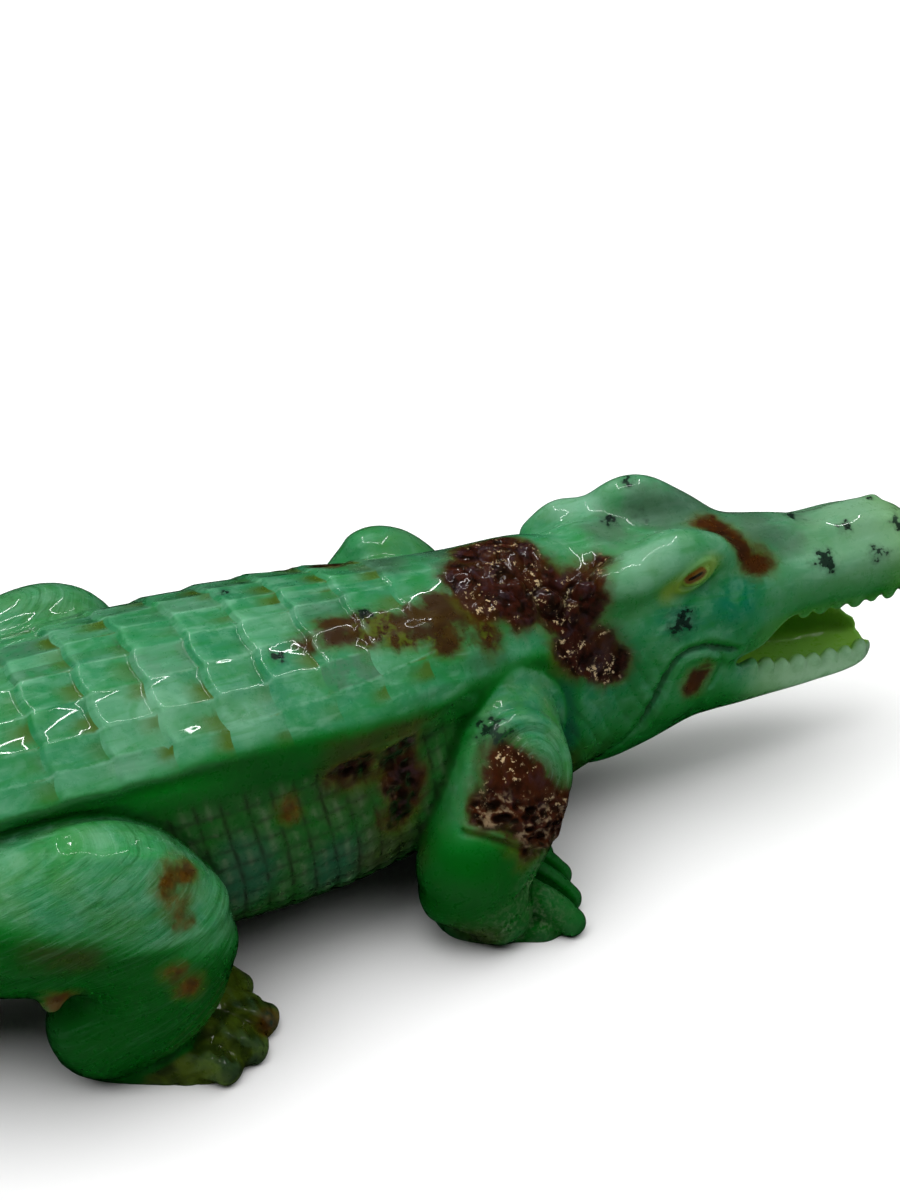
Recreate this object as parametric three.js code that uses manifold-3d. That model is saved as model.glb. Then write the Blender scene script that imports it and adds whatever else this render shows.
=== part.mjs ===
// A solid green stone carving of a walking alligator with its mouth open.
// Millimetres, +X towards the head, +Y to the animal's left, +Z up.
// It is modelled over the ground plane z = 0 with the trunk's middle plane at y = 0,
// and moved at the end so that the middle of its footprint is at the origin.

import * as THREE from 'three';
import { mergeVertices } from 'three/addons/utils/BufferGeometryUtils.js';
import Module from 'manifold-3d';

const wasm = await Module();
wasm.setup();

// Driving dimensions of the trunk
const spineHeight = 46.6;          // top of the back over the ground
const edgeHeight = 39;             // the long crisp edge where the back meets the flank
const edgeHalf = 20.2;             // half the distance between those two edges
const flankHalf = 22.3;            // half the widest part of the body
const flankHeight = 20;            // height of that widest part
const bellyHeight = 5.2;           // clear space under the belly
const channelDepth = 1.5;          // the groove below the back's edge
const channelDrop = 4.2;           // and how far below the edge it lies

// The plates of the back: columns along the body, rows across it
const plateEdges = [0.135, 0.4, 0.64, 0.83, 1];   // where the columns meet, as parts of edgeHalf
const plateRow = 7.4;              // length of one plate
const plateLift = 1.15;            // step at a plate's tail end
const tailRowLeast = 5.2;          // shortest plate, at the tail's tip
const plateGroove = 0.35;          // depth between two columns
const stepWidth = 0.5;             // how much length the step takes
const tailCrest = 2.2;             // how far the two rows of points on the tail stand up
const platesFrom = -182;
const platesTo = -17.2;
const tailFrom = -104;
const platesFade = 12;             // length over which they fade out at the neck

// The head has a frame of its own, turned towards the animal's right
const headTurn = THREE.MathUtils.degToRad(-10);
const headPlace = new THREE.Vector3(0.3, 3.6, 0);
const eyeAt = { s: 22, t: 9.9, z: 38 };
const eyeSize = [3.4, 2.2, 2.5];
const toothLength = 2.1;
const toothWidth = 1.15;
const toothPitch = 3;

const stone = new THREE.MeshStandardMaterial({ color: 0x4fa077, roughness: 0.22, metalness: 0 });

// Values between the rows of a table whose first column rises, on a smooth curve through them
function between(rows, at) {
  let i = 0;
  while (i < rows.length - 2 && rows[i + 1][0] < at) i += 1;
  const span = rows[i + 1][0] - rows[i][0];
  const u = Math.min(Math.max((at - rows[i][0]) / span, 0), 1);
  const slope = (k, c) => {
    const a = rows[Math.max(k - 1, 0)];
    const b = rows[Math.min(k + 1, rows.length - 1)];
    return (b[c] - a[c]) / (b[0] - a[0]);
  };
  const h = [2 * u ** 3 - 3 * u ** 2 + 1, u ** 3 - 2 * u ** 2 + u, -2 * u ** 3 + 3 * u ** 2, u ** 3 - u ** 2];
  return rows[i].map((value, c) => h[0] * value + h[1] * span * slope(i, c)
    + h[2] * rows[i + 1][c] + h[3] * span * slope(i + 1, c));
}

// A smooth closed curve through points [y, z], sampled evenly between them
function roundThrough(points, samples) {
  const corners = points.map(([y, z]) => new THREE.Vector3(y, z, 0));
  const curve = new THREE.CatmullRomCurve3(corners, true, 'centripetal');
  return Array.from({ length: samples }, (_, k) => {
    const p = curve.getPoint(k / samples);
    return [p.x, p.y];
  });
}

// Half a section from top centre to bottom centre, mirrored into a whole ring
const mirrored = half => [...half, ...half.slice(1, -1).reverse().map(([y, z]) => [-y, z])];

// A closed body from rings of equal count, each a list of Vector3, with a fan at both ends
function skin(rings) {
  const count = rings[0].length;
  const middle = ring => ring.reduce((sum, p) => sum.add(p), new THREE.Vector3()).divideScalar(count);
  const points = [...rings.flat(), middle(rings[0]), middle(rings.at(-1))];
  const faces = [];
  const corner = (i, j) => i * count + (j % count);
  for (let i = 0; i < rings.length - 1; i += 1) {
    for (let j = 0; j < count; j += 1) {
      faces.push(corner(i, j), corner(i + 1, j), corner(i + 1, j + 1));
      faces.push(corner(i, j), corner(i + 1, j + 1), corner(i, j + 1));
    }
  }
  const last = rings.length - 1;
  for (let j = 0; j < count; j += 1) {
    faces.push(points.length - 2, corner(0, j), corner(0, j + 1));
    faces.push(points.length - 1, corner(last, j + 1), corner(last, j));
  }
  const geometry = new THREE.BufferGeometry().setFromPoints(points);
  geometry.setIndex(faces);
  return geometry;
}

// A geometry as a solid that can be joined and cut: points that meet become one,
// and faces left without width by that are dropped
function solid(geometry) {
  const bare = geometry.clone();
  bare.deleteAttribute('normal');
  bare.deleteAttribute('uv');
  const merged = mergeVertices(bare, 1e-4);
  const points = new Float32Array(merged.attributes.position.array);
  const made = turned => {
    const faces = [];
    for (let k = 0; k < merged.index.count; k += 3) {
      const [a, b, c] = [0, 1, 2].map(n => merged.index.getX(k + n));
      if (a !== b && b !== c && c !== a) faces.push(...(turned ? [b, a, c] : [a, b, c]));
    }
    return new wasm.Manifold(new wasm.Mesh({
      numProp: 3, vertProperties: points, triVerts: new Uint32Array(faces),
    }));
  };
  const body = made(false);
  return body.volume() > 0 ? body : made(true);
}

// An egg: a sphere with three half sizes at a place, turned about Z and then tilted
function egg(place, size, turn = 0, tilt = 0, detail = [14, 9]) {
  const shape = new THREE.SphereGeometry(1, detail[0], detail[1]);
  shape.rotateX(Math.PI / 2);
  shape.scale(...size);
  shape.rotateY(tilt);
  shape.rotateZ(turn);
  shape.translate(place.x, place.y, place.z);
  return solid(shape);
}

// A limb, finger or fold: stops [x, y, z, half width across, half height], rounded at both ends.
// The width lies as near to the Y axis as the run of the limb allows.
function limb(stops, around = 12, perStop = 2, ends = [true, true]) {
  const rows = stops.map((stop, k) => [k, ...stop]);
  const steps = (stops.length - 1) * perStop;
  const rings = [];
  for (let n = 0; n <= steps; n += 1) {
    const at = n / perStop;
    const here = between(rows, at);
    const before = between(rows, Math.max(at - 0.05, 0));
    const after = between(rows, Math.min(at + 0.05, stops.length - 1));
    const centre = new THREE.Vector3(here[1], here[2], here[3]);
    const along = new THREE.Vector3(after[1] - before[1], after[2] - before[2], after[3] - before[3]);
    along.normalize();
    const across = new THREE.Vector3(0, 1, 0).addScaledVector(along, -along.y).normalize();
    const upward = along.clone().cross(across);
    const ring = (shift, size) => Array.from({ length: around }, (_, j) => {
      const angle = 2 * Math.PI * j / around;
      return centre.clone().addScaledVector(along, shift)
        .addScaledVector(across, Math.cos(angle) * here[4] * size)
        .addScaledVector(upward, Math.sin(angle) * here[5] * size);
    });
    const depth = Math.min(here[4], here[5]);
    const cap = around < 12 ? [[0.66, 0.62]] : [[0.5, 0.86], [0.86, 0.48]];
    if (n === 0 && ends[0]) rings.push(...cap.toReversed().map(([out, size]) => ring(-out * depth, size)));
    rings.push(ring(0, 1));
    if (n === steps && ends[1]) rings.push(...cap.map(([out, size]) => ring(out * depth, size)));
  }
  return solid(skin(rings));
}

// Trunk, neck and tail: [along, x, y, top, edge half, edge height, flank half, flank height, bottom]
const trunkRows = [
  [-192, -186, 27, 4.2, 0.8, 3.4, 1.3, 2, 0.4],
  [-181, -177.5, 19.5, 9, 1.4, 7.4, 2.8, 3.6, -0.6],
  [-167, -165.5, 12, 15.4, 2.6, 13, 4.9, 6.2, -0.8],
  [-151, -150.5, 6, 22.4, 5, 19, 7.3, 9.6, -0.6],
  [-136, -136, 2.5, 29, 8, 25, 10, 13.6, 0.8],
  [-120, -120, 0.6, 35.6, 11.6, 31, 13, 17.4, 2.8],
  [-104, -104, 0, 41.2, 15, 35.6, 16.6, 20.4, bellyHeight + 1],
  [-88, -88, 0, 44.8, 17.6, 38, 19.6, flankHeight + 1.5, bellyHeight + 2.4],
  [-72, -72, 0, spineHeight - 0.2, 19.4, edgeHeight, flankHalf - 1.2, flankHeight + 1.5, bellyHeight + 2.4],
  [-54, -54, 0, spineHeight, edgeHalf, edgeHeight, flankHalf, flankHeight + 0.5, bellyHeight + 1],
  [-38, -38, 0, spineHeight - 0.3, 19.2, edgeHeight, flankHalf - 1, flankHeight, bellyHeight],
  [-24, -24, 0.3, spineHeight - 1, 16, 38.4, 18.6, 20.5, 5],
  [-12, -12, 1, 44.6, 12.4, 37.4, 16.4, 20.5, 4.6],
  [0, 0, 2.2, 43.6, 10.6, 36.2, 15.4, 20.5, 4.8],
  [12, 12, 1.6, 40.5, 9, 34, 12.6, 21.5, 7],
];

// One section of the trunk. A plate is low at its head end and high at its tail end, where it
// drops to the next one: rise goes from 0 to 1 along it, and the step moves only the top's points.
function trunkRing(along, rise, step = 0) {
  const row = between(trunkRows, along);
  const [, x, y, top, edgeY, edgeZ, half, halfZ, bottom] = row;
  const before = between(trunkRows, along - 1);
  const after = between(trunkRows, along + 1);
  const run = new THREE.Vector3(after[1] - before[1], after[2] - before[2], 0).normalize();
  const side = new THREE.Vector3(-run.y, run.x, 0);
  const size = Math.min(edgeY / edgeHalf, 1);
  const shown = THREE.MathUtils.smoothstep(platesTo - along, 0, platesFade) * Math.min(1, size * 1.6);
  const onTail = THREE.MathUtils.smoothstep(tailFrom - along, 0, platesFade * 2) * Math.min(1, size * 4);
  const dome = part => edgeZ + (top - edgeZ) * (1 - part ** 2);
  const lift = plateLift * (rise - 0.5) * shown;
  const crest = tailCrest * onTail * rise;
  const upper = [[0, dome(0) + lift]];
  plateEdges.forEach((part, k) => {
    const inner = k > 0 ? plateEdges[k - 1] : -part;
    const middle = (part + inner) / 2;
    if (k > 0) upper.push([middle * edgeY, dome(middle) + lift]);
    const last = k === plateEdges.length - 1;
    upper.push([part * edgeY, dome(part) + lift * 0.8 + (last ? crest : -plateGroove * shown)]);
  });
  const groove = channelDepth * size;
  const drop = channelDrop * size;
  const lower = [[edgeY - groove, edgeZ - drop]];
  for (const degrees of [34, 10, -16, -42, -66, -90]) {
    const angle = THREE.MathUtils.degToRad(degrees);
    const reach = degrees > 0 ? edgeZ - halfZ : halfZ - bottom;
    const square = degrees > 0 ? 0.55 : 0.75;
    lower.push([half * Math.cos(angle) ** square, halfZ + reach * Math.sin(angle)]);
  }
  lower[lower.length - 1][0] = 0;
  const put = back => ([across, z]) => new THREE.Vector3(x, y, z)
    .addScaledVector(side, across).addScaledVector(run, -back);
  const flip = points => points.map(([across, z]) => [-across, z]).reverse();
  return [...upper.map(put(step)), ...lower.map(put(0)),
    ...flip(lower.slice(0, -1)).map(put(0)), ...flip(upper.slice(1)).map(put(step))];
}

function trunk() {
  const rings = [];
  let along = platesTo;
  const marks = [];
  while (along > platesFrom) {
    marks.push(along);
    const size = Math.min(between(trunkRows, along)[4] / edgeHalf, 1);
    along -= Math.max(tailRowLeast, plateRow * Math.min(1, 0.6 + size));
  }
  rings.push(trunkRing(trunkRows[0][0], 0.5));
  for (const mark of marks.reverse()) {
    rings.push(trunkRing(mark, 0, stepWidth));
    rings.push(trunkRing(mark, 1));
  }
  for (const at of [-7, 0, 8]) rings.push(trunkRing(at, 0.5));
  return solid(skin(rings));
}

// From the head's own frame (s forward, t to its left, z up) to the carving's
const headPoint = (s, t, z) => new THREE.Vector3(s, t, z)
  .applyAxisAngle(new THREE.Vector3(0, 0, 1), headTurn).add(headPlace);

// Skull and upper jaw:
// [s, top, half of the flat top, its side's height, half width, its height, half at lip, lip, palate]
const skullRows = [
  [2, 40.5, 6, 38, 11.5, 27, 9, 16, 13],
  [8, 41.2, 7, 39, 13.4, 28, 11, 16.5, 14],
  [14, 40, 7.5, 38.6, 14.2, 28.4, 12.2, 18, 15],
  [20, 39, 7.6, 38.4, 13.4, 29, 12.2, 21, 18],
  [27, 39.2, 6.2, 37.8, 12.2, 29, 11, 22.4, 21.5],
  [34, 39.5, 5, 37.6, 10.6, 29.6, 9.6, 23.4, 24],
  [39, 39.1, 4.6, 37, 9.4, 31, 8.6, 26.8, 26.4],
  [46, 38.2, 4.6, 36.4, 8.8, 32, 8, 27.6, 27.4],
  [53, 38.9, 5, 37, 8.8, 32.4, 7.8, 27.6, 28],
  [58, 38.4, 4.8, 36.6, 8.2, 32.4, 7.2, 27.8, 28.4],
  [62, 36.6, 3.6, 35, 6.4, 32, 5.4, 28.2, 28.8],
  [64.6, 33.6, 1.6, 32.8, 2.8, 31.4, 2.2, 29.4, 29.6],
];

// Lower jaw: [s, half width, rim, bottom, half of the bottom, floor]
const jawRows = [
  [4, 10.4, 22, 5.4, 6, 20],
  [10, 12, 24, 6, 7.4, 22],
  [17, 12.4, 24.6, 8.4, 7.8, 22],
  [24, 11.6, 22, 10.6, 7, 18],
  [31, 10.2, 19.8, 11, 6.2, 16.4],
  [38, 8.8, 19, 11.6, 5.4, 15.8],
  [45, 7.8, 18.6, 12.2, 4.8, 15.8],
  [51, 7, 18.2, 12.8, 4.2, 16],
  [54.5, 5.6, 17.8, 13.4, 3.4, 16],
  [57, 3, 16.8, 14.2, 1.8, 16],
];

function skull() {
  const stops = [2, 8, 14, 20, 25, 30, 34, 36.5, 39, 43, 48, 53, 57, 60.5, 62.8, 64.6];
  return solid(skin(stops.map(s => {
    const [, top, topHalf, topSide, half, halfZ, lipHalf, lip, palate] = between(skullRows, s);
    const temple = (topSide + halfZ) / 2 + 1;
    const right = [[0, top], [topHalf * 0.6, top], [topHalf, topSide], [half * 0.9, temple], [half, halfZ],
      [lipHalf, lip], [lipHalf * 0.75, lip + 0.2], [0, palate]];
    return roundThrough(mirrored(right), 20).map(([t, z]) => headPoint(s, t, z));
  })));
}

function lowerJaw() {
  const stops = [4, 10, 16, 20, 24, 28, 32, 37, 42, 47, 51.5, 54.5, 57];
  return solid(skin(stops.map(s => {
    const [, half, rim, bottom, bottomHalf, floor] = between(jawRows, s);
    const right = [[0, floor], [half * 0.5, floor + 0.2], [half * 0.78, rim], [half * 0.95, rim - 0.3],
      [half, (rim + bottom) / 2], [bottomHalf, bottom + 0.6], [0, bottom]];
    return roundThrough(mirrored(right), 16).map(([t, z]) => headPoint(s, t, z));
  })));
}

// A tooth: a blunt four-sided cone standing on a jaw, pointing up or down
function tooth(s, t, z, upwards) {
  const shape = new THREE.ConeGeometry(toothWidth, toothLength * 1.6, 3, 1);
  shape.rotateX(upwards ? Math.PI / 2 : -Math.PI / 2);
  const root = headPoint(s, t, z);
  shape.translate(root.x, root.y, root.z + (upwards ? 0.2 : -0.2) * toothLength);
  return solid(shape);
}

// Teeth along a jaw's edge from its corner round the tip, on both sides
function teeth(from, to, edge, upwards) {
  const row = [];
  for (let s = from; s <= to; s += toothPitch) {
    const { half, z } = edge(s);
    for (const side of [-1, 1]) row.push(tooth(s, side * half, z, upwards));
  }
  return row;
}

// Both sides of the head, made once and mirrored in the head's own frame
function headSides() {
  return [-1, 1].flatMap(side => {
    const place = (s, t, z) => headPoint(s, side * t, z);
    const stop = (s, t, z, a, b) => [...place(s, t, z).toArray(), a, b];
    return [
      // brow: a long swelling, low over the back of the skull and high over the eye
      limb([stop(5, 10, 37, 2.6, 2.8), stop(9, 9.8, 38.8, 3.6, 3.6), stop(13.5, 8.8, 38.8, 4, 3.8),
        stop(19.2, 7.2, 41.2, 4.3, 5), stop(25.5, 6.2, 39.8, 3.6, 3.6), stop(32, 4.8, 37, 2.4, 2)], 8),
      // the eyeball with its lids
      egg(place(eyeAt.s, eyeAt.t, eyeAt.z), eyeSize, headTurn - side * 0.1, -0.45, [8, 6]),
      // cheek: the muscle behind and under the eye
      egg(place(26, 9.4, 29.4), [9, 3.2, 6], headTurn, 0.12, [8, 6]),
      // hinge of the jaws
      egg(place(17.6, 10.8, 21), [6.4, 2.8, 7], headTurn, -0.5, [8, 6]),
      // nostril
      egg(place(57.6, 3, 36.4), [3, 2.2, 2.6], headTurn, 0, [7, 5]),
    ];
  });
}

// A foot: toes spread as a fan from the palm to their tips [x, y]
function foot(palm, tips, reach) {
  const parts = [limb([[...palm.from, 4.4, 3.4], [...palm.to, palm.half, 2.9]], 10, 1)];
  for (const [x, y] of tips) {
    const [px, py] = palm.to;
    const mix = (a, b, u) => a + (b - a) * u;
    parts.push(limb([
      [mix(px, x, 0.2), mix(py, y, 0.55), 2.6, reach, 2.5],
      [mix(px, x, 0.72), mix(py, y, 0.9), 2.3, reach * 0.96, 2.2],
      [x, y, 1, reach * 0.45, 1],
    ], 6, 1, [false, true]));
  }
  return parts;
}

// Front leg: upper arm down and back to the elbow, forearm and hand forward on the ground.
// The far one stands with its shoulder higher.
function frontLeg(side, shift, rise) {
  const at = (x, y, z, a, b) => [x + shift, side * y, z, a, b];
  return [
    limb([at(-11.5 + rise * 0.3, 12.5 + rise * 0.8, 24.6 + rise * 1.4, 7, 9 + rise * 0.3),
      at(-14, 18, 22 + rise * 1.1, 7.4, 9.6), at(-18.4, 21.5, 16.2 + rise * 0.5, 7.2, 9.2),
      at(-23, 23.5, 11.2, 7.2, 8.4)], 12),
    limb([at(-22.5, 23.5, 9.5, 7, 8.2), at(-17, 24.5, 6.4, 7, 6.4), at(-12.5, 24.5, 4, 6.6, 4.4)]),
    ...foot({ from: [-17 + shift, side * 24, 3.2], to: [-14 + shift, side * 24, 2.4], half: 6.6 },
      [[-11.4, 31.5], [-8, 26.8], [-7, 21.3], [-8, 16.5]].map(([x, y]) => [x + shift, side * y]), 2.3),
  ];
}

// Hind leg: a heavy thigh forward to the knee, the shank folded back under it, the foot forward.
// The far one steps ahead of the near one with its knee raised.
function hindLeg(side, shift, rise) {
  const at = (x, y, z, a, b) => [x + shift, side * y, z, a, b];
  return [
    limb([at(-99 - shift, 10, 26, 9, 8.5), at(-86 - shift / 2, 20, 26.3 + rise * 0.5, 9, 9.8),
      at(-74 + rise * 0.35, 23.5, 25.9 + rise, 8.6, 11.9 - rise * 0.2),
      at(-67.5, 25.5, 20 + rise * 1.2, 8, 10)], 14),
    egg(new THREE.Vector3(-68.5, side * 24.5, 22 + rise * 0.6), [7, 6, 6], 0, 0, [8, 5]),
    limb([at(-68, 26, 19 + rise, 7.6, 10), at(-70, 25.5, 12 + rise * 0.4, 7.4, 9.2),
      at(-76, 24, 7.4, 6.6, 7.6)]),
    ...foot({ from: [-76 + shift, side * 24, 4.6], to: [-67 + shift, side * 26.5, 2.6], half: 7 },
      [[-62, 34], [-56.6, 31], [-53.6, 26], [-55.6, 20.5]].map(([x, y]) => [x + shift, side * y]), 2.5),
  ];
}

// Everything joined, and the soles and the underside of the tail cut flat on the ground
function alligator() {
  const upperLip = s => {
    const row = between(skullRows, s);
    return { half: row[6] * 0.9, z: row[7] + 0.4 };
  };
  const lowerRim = s => {
    const row = between(jawRows, s);
    return { half: row[1] * 0.84, z: row[2] - 0.2 };
  };
  const parts = [
    skull(), lowerJaw(),
    ...headSides(),
    ...teeth(42, 63, upperLip, false),
    ...teeth(33.5, 57, lowerRim, true),
    ...frontLeg(-1, 0, 0), ...frontLeg(1, -4, 6),
    ...hindLeg(-1, 0, 0), ...hindLeg(1, 5, 7),
  ];
  let whole = trunk();
  for (const part of parts) whole = whole.add(part);
  const ground = new THREE.BoxGeometry(400, 200, 20);
  ground.translate(-60, 0, -10);
  return whole.subtract(solid(ground));
}

const result = alligator().getMesh();
const shape = new THREE.BufferGeometry();
shape.setAttribute('position', new THREE.BufferAttribute(result.vertProperties, 3));
shape.setIndex(new THREE.BufferAttribute(result.triVerts, 1));
shape.computeBoundingBox();

const carving = new THREE.Mesh(shape, stone);
carving.name = 'alligator';
const middle = shape.boundingBox.getCenter(new THREE.Vector3());
const group = new THREE.Group();
group.add(carving);
carving.position.set(-middle.x, -middle.y, -shape.boundingBox.min.z);

export default group;
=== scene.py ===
# A walking alligator carved from green stone, with brown host rock left on its neck and arm.
# Shapes are worked out in millimetres over the ground z = 0, in the carving's own frame:
# x forward, y to the animal's left, z up, with the trunk's middle plane at y = 0.

import bpy
import math
import numpy as np
from functools import partial
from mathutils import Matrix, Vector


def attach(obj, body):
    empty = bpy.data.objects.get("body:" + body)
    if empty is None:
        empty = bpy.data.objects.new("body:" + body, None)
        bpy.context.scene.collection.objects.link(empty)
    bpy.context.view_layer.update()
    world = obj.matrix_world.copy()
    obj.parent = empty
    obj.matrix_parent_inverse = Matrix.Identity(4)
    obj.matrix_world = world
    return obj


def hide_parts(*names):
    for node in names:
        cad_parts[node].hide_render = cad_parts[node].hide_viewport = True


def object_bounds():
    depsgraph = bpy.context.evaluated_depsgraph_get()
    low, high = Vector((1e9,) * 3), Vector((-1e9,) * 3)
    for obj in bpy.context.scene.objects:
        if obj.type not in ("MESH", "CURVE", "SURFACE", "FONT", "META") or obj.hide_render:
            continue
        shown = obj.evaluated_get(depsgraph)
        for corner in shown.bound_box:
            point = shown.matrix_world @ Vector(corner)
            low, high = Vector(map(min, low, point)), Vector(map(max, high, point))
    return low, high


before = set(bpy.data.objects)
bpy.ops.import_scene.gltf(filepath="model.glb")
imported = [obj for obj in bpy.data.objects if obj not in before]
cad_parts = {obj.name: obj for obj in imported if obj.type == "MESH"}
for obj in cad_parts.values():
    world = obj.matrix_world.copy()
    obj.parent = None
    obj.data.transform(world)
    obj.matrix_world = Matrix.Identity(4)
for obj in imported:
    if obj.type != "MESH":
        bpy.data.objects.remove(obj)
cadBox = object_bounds()
metre = 0.001   # one millimetre in Blender's metres


# Numbers and small array tools

def smooth(low, high, value):
    # 0 below low, 1 above high, and an S-shaped curve between
    u = np.clip((value - low) / (high - low), 0, 1)
    return u * u * (3 - 2 * u)


def inside(low, risen, falling, high, value):
    # 1 between risen and falling, easing to 0 at low and at high
    return smooth(low, risen, value) * smooth(high, falling, value)


def length(vectors):
    # the straight length of each vector along the last axis
    return np.linalg.norm(vectors, axis=-1)


def bell(value, width):
    # 1 where value is 0, falling as a Gaussian of that width
    return np.exp(-(value / width) ** 2)


def cubic(u, start, end, startSlope, endSlope):
    # the Hermite cubic from start to end, whose slopes there are given
    return ((2 * u ** 3 - 3 * u ** 2 + 1) * start + (u ** 3 - 2 * u ** 2 + u) * startSlope
            + (3 * u ** 2 - 2 * u ** 3) * end + (u ** 3 - u ** 2) * endSlope)


def between(rows, at):
    # a cubic curve through the rows, whose slope at a row is that of the line past it
    rows, at = np.asarray(rows, float), np.atleast_1d(np.asarray(at, float))
    i = np.clip(np.searchsorted(rows[:, 0], at) - 1, 0, len(rows) - 2)
    span = (rows[i + 1, 0] - rows[i, 0])[:, None]
    u = np.clip((at[:, None] - rows[i, 0:1]) / span, 0, 1)
    k = np.arange(len(rows))
    a, b = np.maximum(k - 1, 0), np.minimum(k + 1, len(rows) - 1)
    slope = (rows[b] - rows[a]) / (rows[b, 0] - rows[a, 0])[:, None]
    return cubic(u, rows[i], rows[i + 1], span * slope[i], span * slope[i + 1])


def throughPoints(points, perSpan, closed):
    # a Catmull-Rom curve with centripetal spacing through points[..., k, :], for every row at once
    count = points.shape[-2]
    if closed:
        k = np.arange(-1, count + 2) % count
        p = points[..., k, :]
    else:
        first = 2 * points[..., :1, :] - points[..., 1:2, :]
        last = 2 * points[..., -1:, :] - points[..., -2:-1, :]
        p = np.concatenate([first, points, last], -2)
    w = (np.arange(perSpan) / perSpan)[:, None]
    gap = lambda a, b: np.sqrt(length(b - a) + 1e-9)[..., None]
    pieces = []
    for k in range(count if closed else count - 1):
        p0, p1, p2, p3 = [p[..., k + step, :] for step in range(4)]
        d0, d1, d2 = gap(p0, p1), gap(p1, p2), gap(p2, p3)
        m1 = (p2 - p1) + d1 * ((p1 - p0) / d0 - (p2 - p0) / (d0 + d1))
        m2 = (p2 - p1) + d1 * ((p3 - p2) / d2 - (p3 - p1) / (d1 + d2))
        pieces.append(cubic(w, *[v[..., None, :] for v in (p1, p2, m1, m2)]))
    curve = np.concatenate(pieces, -2)
    return curve if closed else np.concatenate([curve, points[..., -1:, :]], -2)


def scatter(cell, seed):
    # a repeatable number from 0 to 1 for each whole-numbered cell [..., 3]
    c = cell.astype(np.int64)
    h = (c[..., 0] * 374761393 + c[..., 1] * 668265263 + c[..., 2] * 1440662683 + seed * 974634777) & 0xffffffff
    h = ((h ^ (h >> 13)) * 1274126177) & 0xffffffff
    h = ((h ^ (h >> 15)) * 2246822519) & 0xffffffff
    return ((h ^ (h >> 16)) & 0xffffff) / 0xffffff


def noise(points, size, seed=0, octaves=1):
    # smooth value noise from -1 to 1 on a lattice of that size, each octave half as coarse and half as strong
    total, weight, reach = 0, 1, 0
    for n in range(octaves):
        q = points / size * 2 ** n + 31.7 * n
        cell = np.floor(q)
        f = q - cell
        f = f * f * (3 - 2 * f)
        value = 0
        for corner in np.ndindex(2, 2, 2):
            w = np.prod(np.where(np.array(corner) == 1, f, 1 - f), axis=-1)
            value = value + w * scatter(cell + np.array(corner), seed + n)
        total, reach, weight = total + weight * (2 * value - 1), reach + weight, weight / 2
    return total / reach


def grains(points, size, seed=0):
    # distance to the nearest grain centre, in grains, and how much farther the second nearest is
    q = points / size
    cell = np.floor(q)
    first = np.full(len(points), 9.0)
    second = first.copy()
    for step in np.ndindex(3, 3, 3):
        c = cell + np.array(step) - 1
        centre = c + 0.15 + 0.7 * np.stack([scatter(c, seed + k) for k in range(3)], -1)
        d = length(q - centre)
        second = np.minimum(second, np.maximum(first, d))
        first = np.minimum(first, d)
    return first, second - first


def fromPath(points, path, snap=False):
    # distance of every point to a smooth line through the path's points, up to 9 mm;
    # with snap, the line is first moved to the nearest of the points
    line = throughPoints(np.asarray(path, float), 6, False) if len(path) > 2 else np.asarray(path, float)
    near = ((points > line.min(0) - 9) & (points < line.max(0) + 9)).all(1)
    part = points[near]
    if snap and len(part):
        line = np.array([part[((part - place) ** 2).sum(1).argmin()] for place in line])
    close = np.full(len(part), 9.0)
    for a, b in zip(line[:-1], line[1:]):
        run = b - a
        u = np.clip((part - a) @ run / (run @ run + 1e-9), 0, 1)
        close = np.minimum(close, length(part - a - u[:, None] * run))
    best = np.full(len(points), 9.0)
    best[near] = close
    return best


def spots(points, places, soft=6.0, merge=0.0):
    # round spots (x, y, z, radius): a half at the radius, falling by 1 over the soft distance;
    # with merge, neighbouring spots run into one another like drops
    out, total = np.full(len(points), -1e9), 0
    for x, y, z, radius in places:
        one = 0.5 + (radius - length(points - (x, y, z))) / soft
        out = np.maximum(out, one)
        total = total + np.exp(np.clip(one, -9, 4) / max(merge, 0.05))
    return np.clip(merge * np.log(total) if merge else out, 0, 1)


def ragged(base, wander):
    # a patch whose edge wanders, kept to the patch's own neighbourhood
    return base + wander * smooth(0.02, 0.25, base)


# Closed skins made of rings, and how they join

def skin(rings):
    # quads between rings [n, m, 3] and a fan at each end, as points and triangles
    n, m = rings.shape[:2]
    points = np.concatenate([rings.reshape(-1, 3), rings[:1].mean(1), rings[-1:].mean(1)])
    i, j = np.meshgrid(np.arange(n - 1), np.arange(m), indexing="ij")
    a, b = (i * m + j).ravel(), (i * m + (j + 1) % m).ravel()
    c, d = a + m, b + m
    k = np.arange(m)
    after = (k + 1) % m
    first = np.stack([np.full(m, n * m), after, k], 1)
    last = np.stack([np.full(m, n * m + 1), (n - 1) * m + k, (n - 1) * m + after], 1)
    faces = np.concatenate([np.stack([a, b, d], 1), np.stack([a, d, c], 1), first, last])
    p = points[faces]
    volume = np.einsum("ij,ij->i", p[:, 0], np.cross(p[:, 1], p[:, 2])).sum()
    return points, faces if volume > 0 else faces[:, ::-1]


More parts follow.
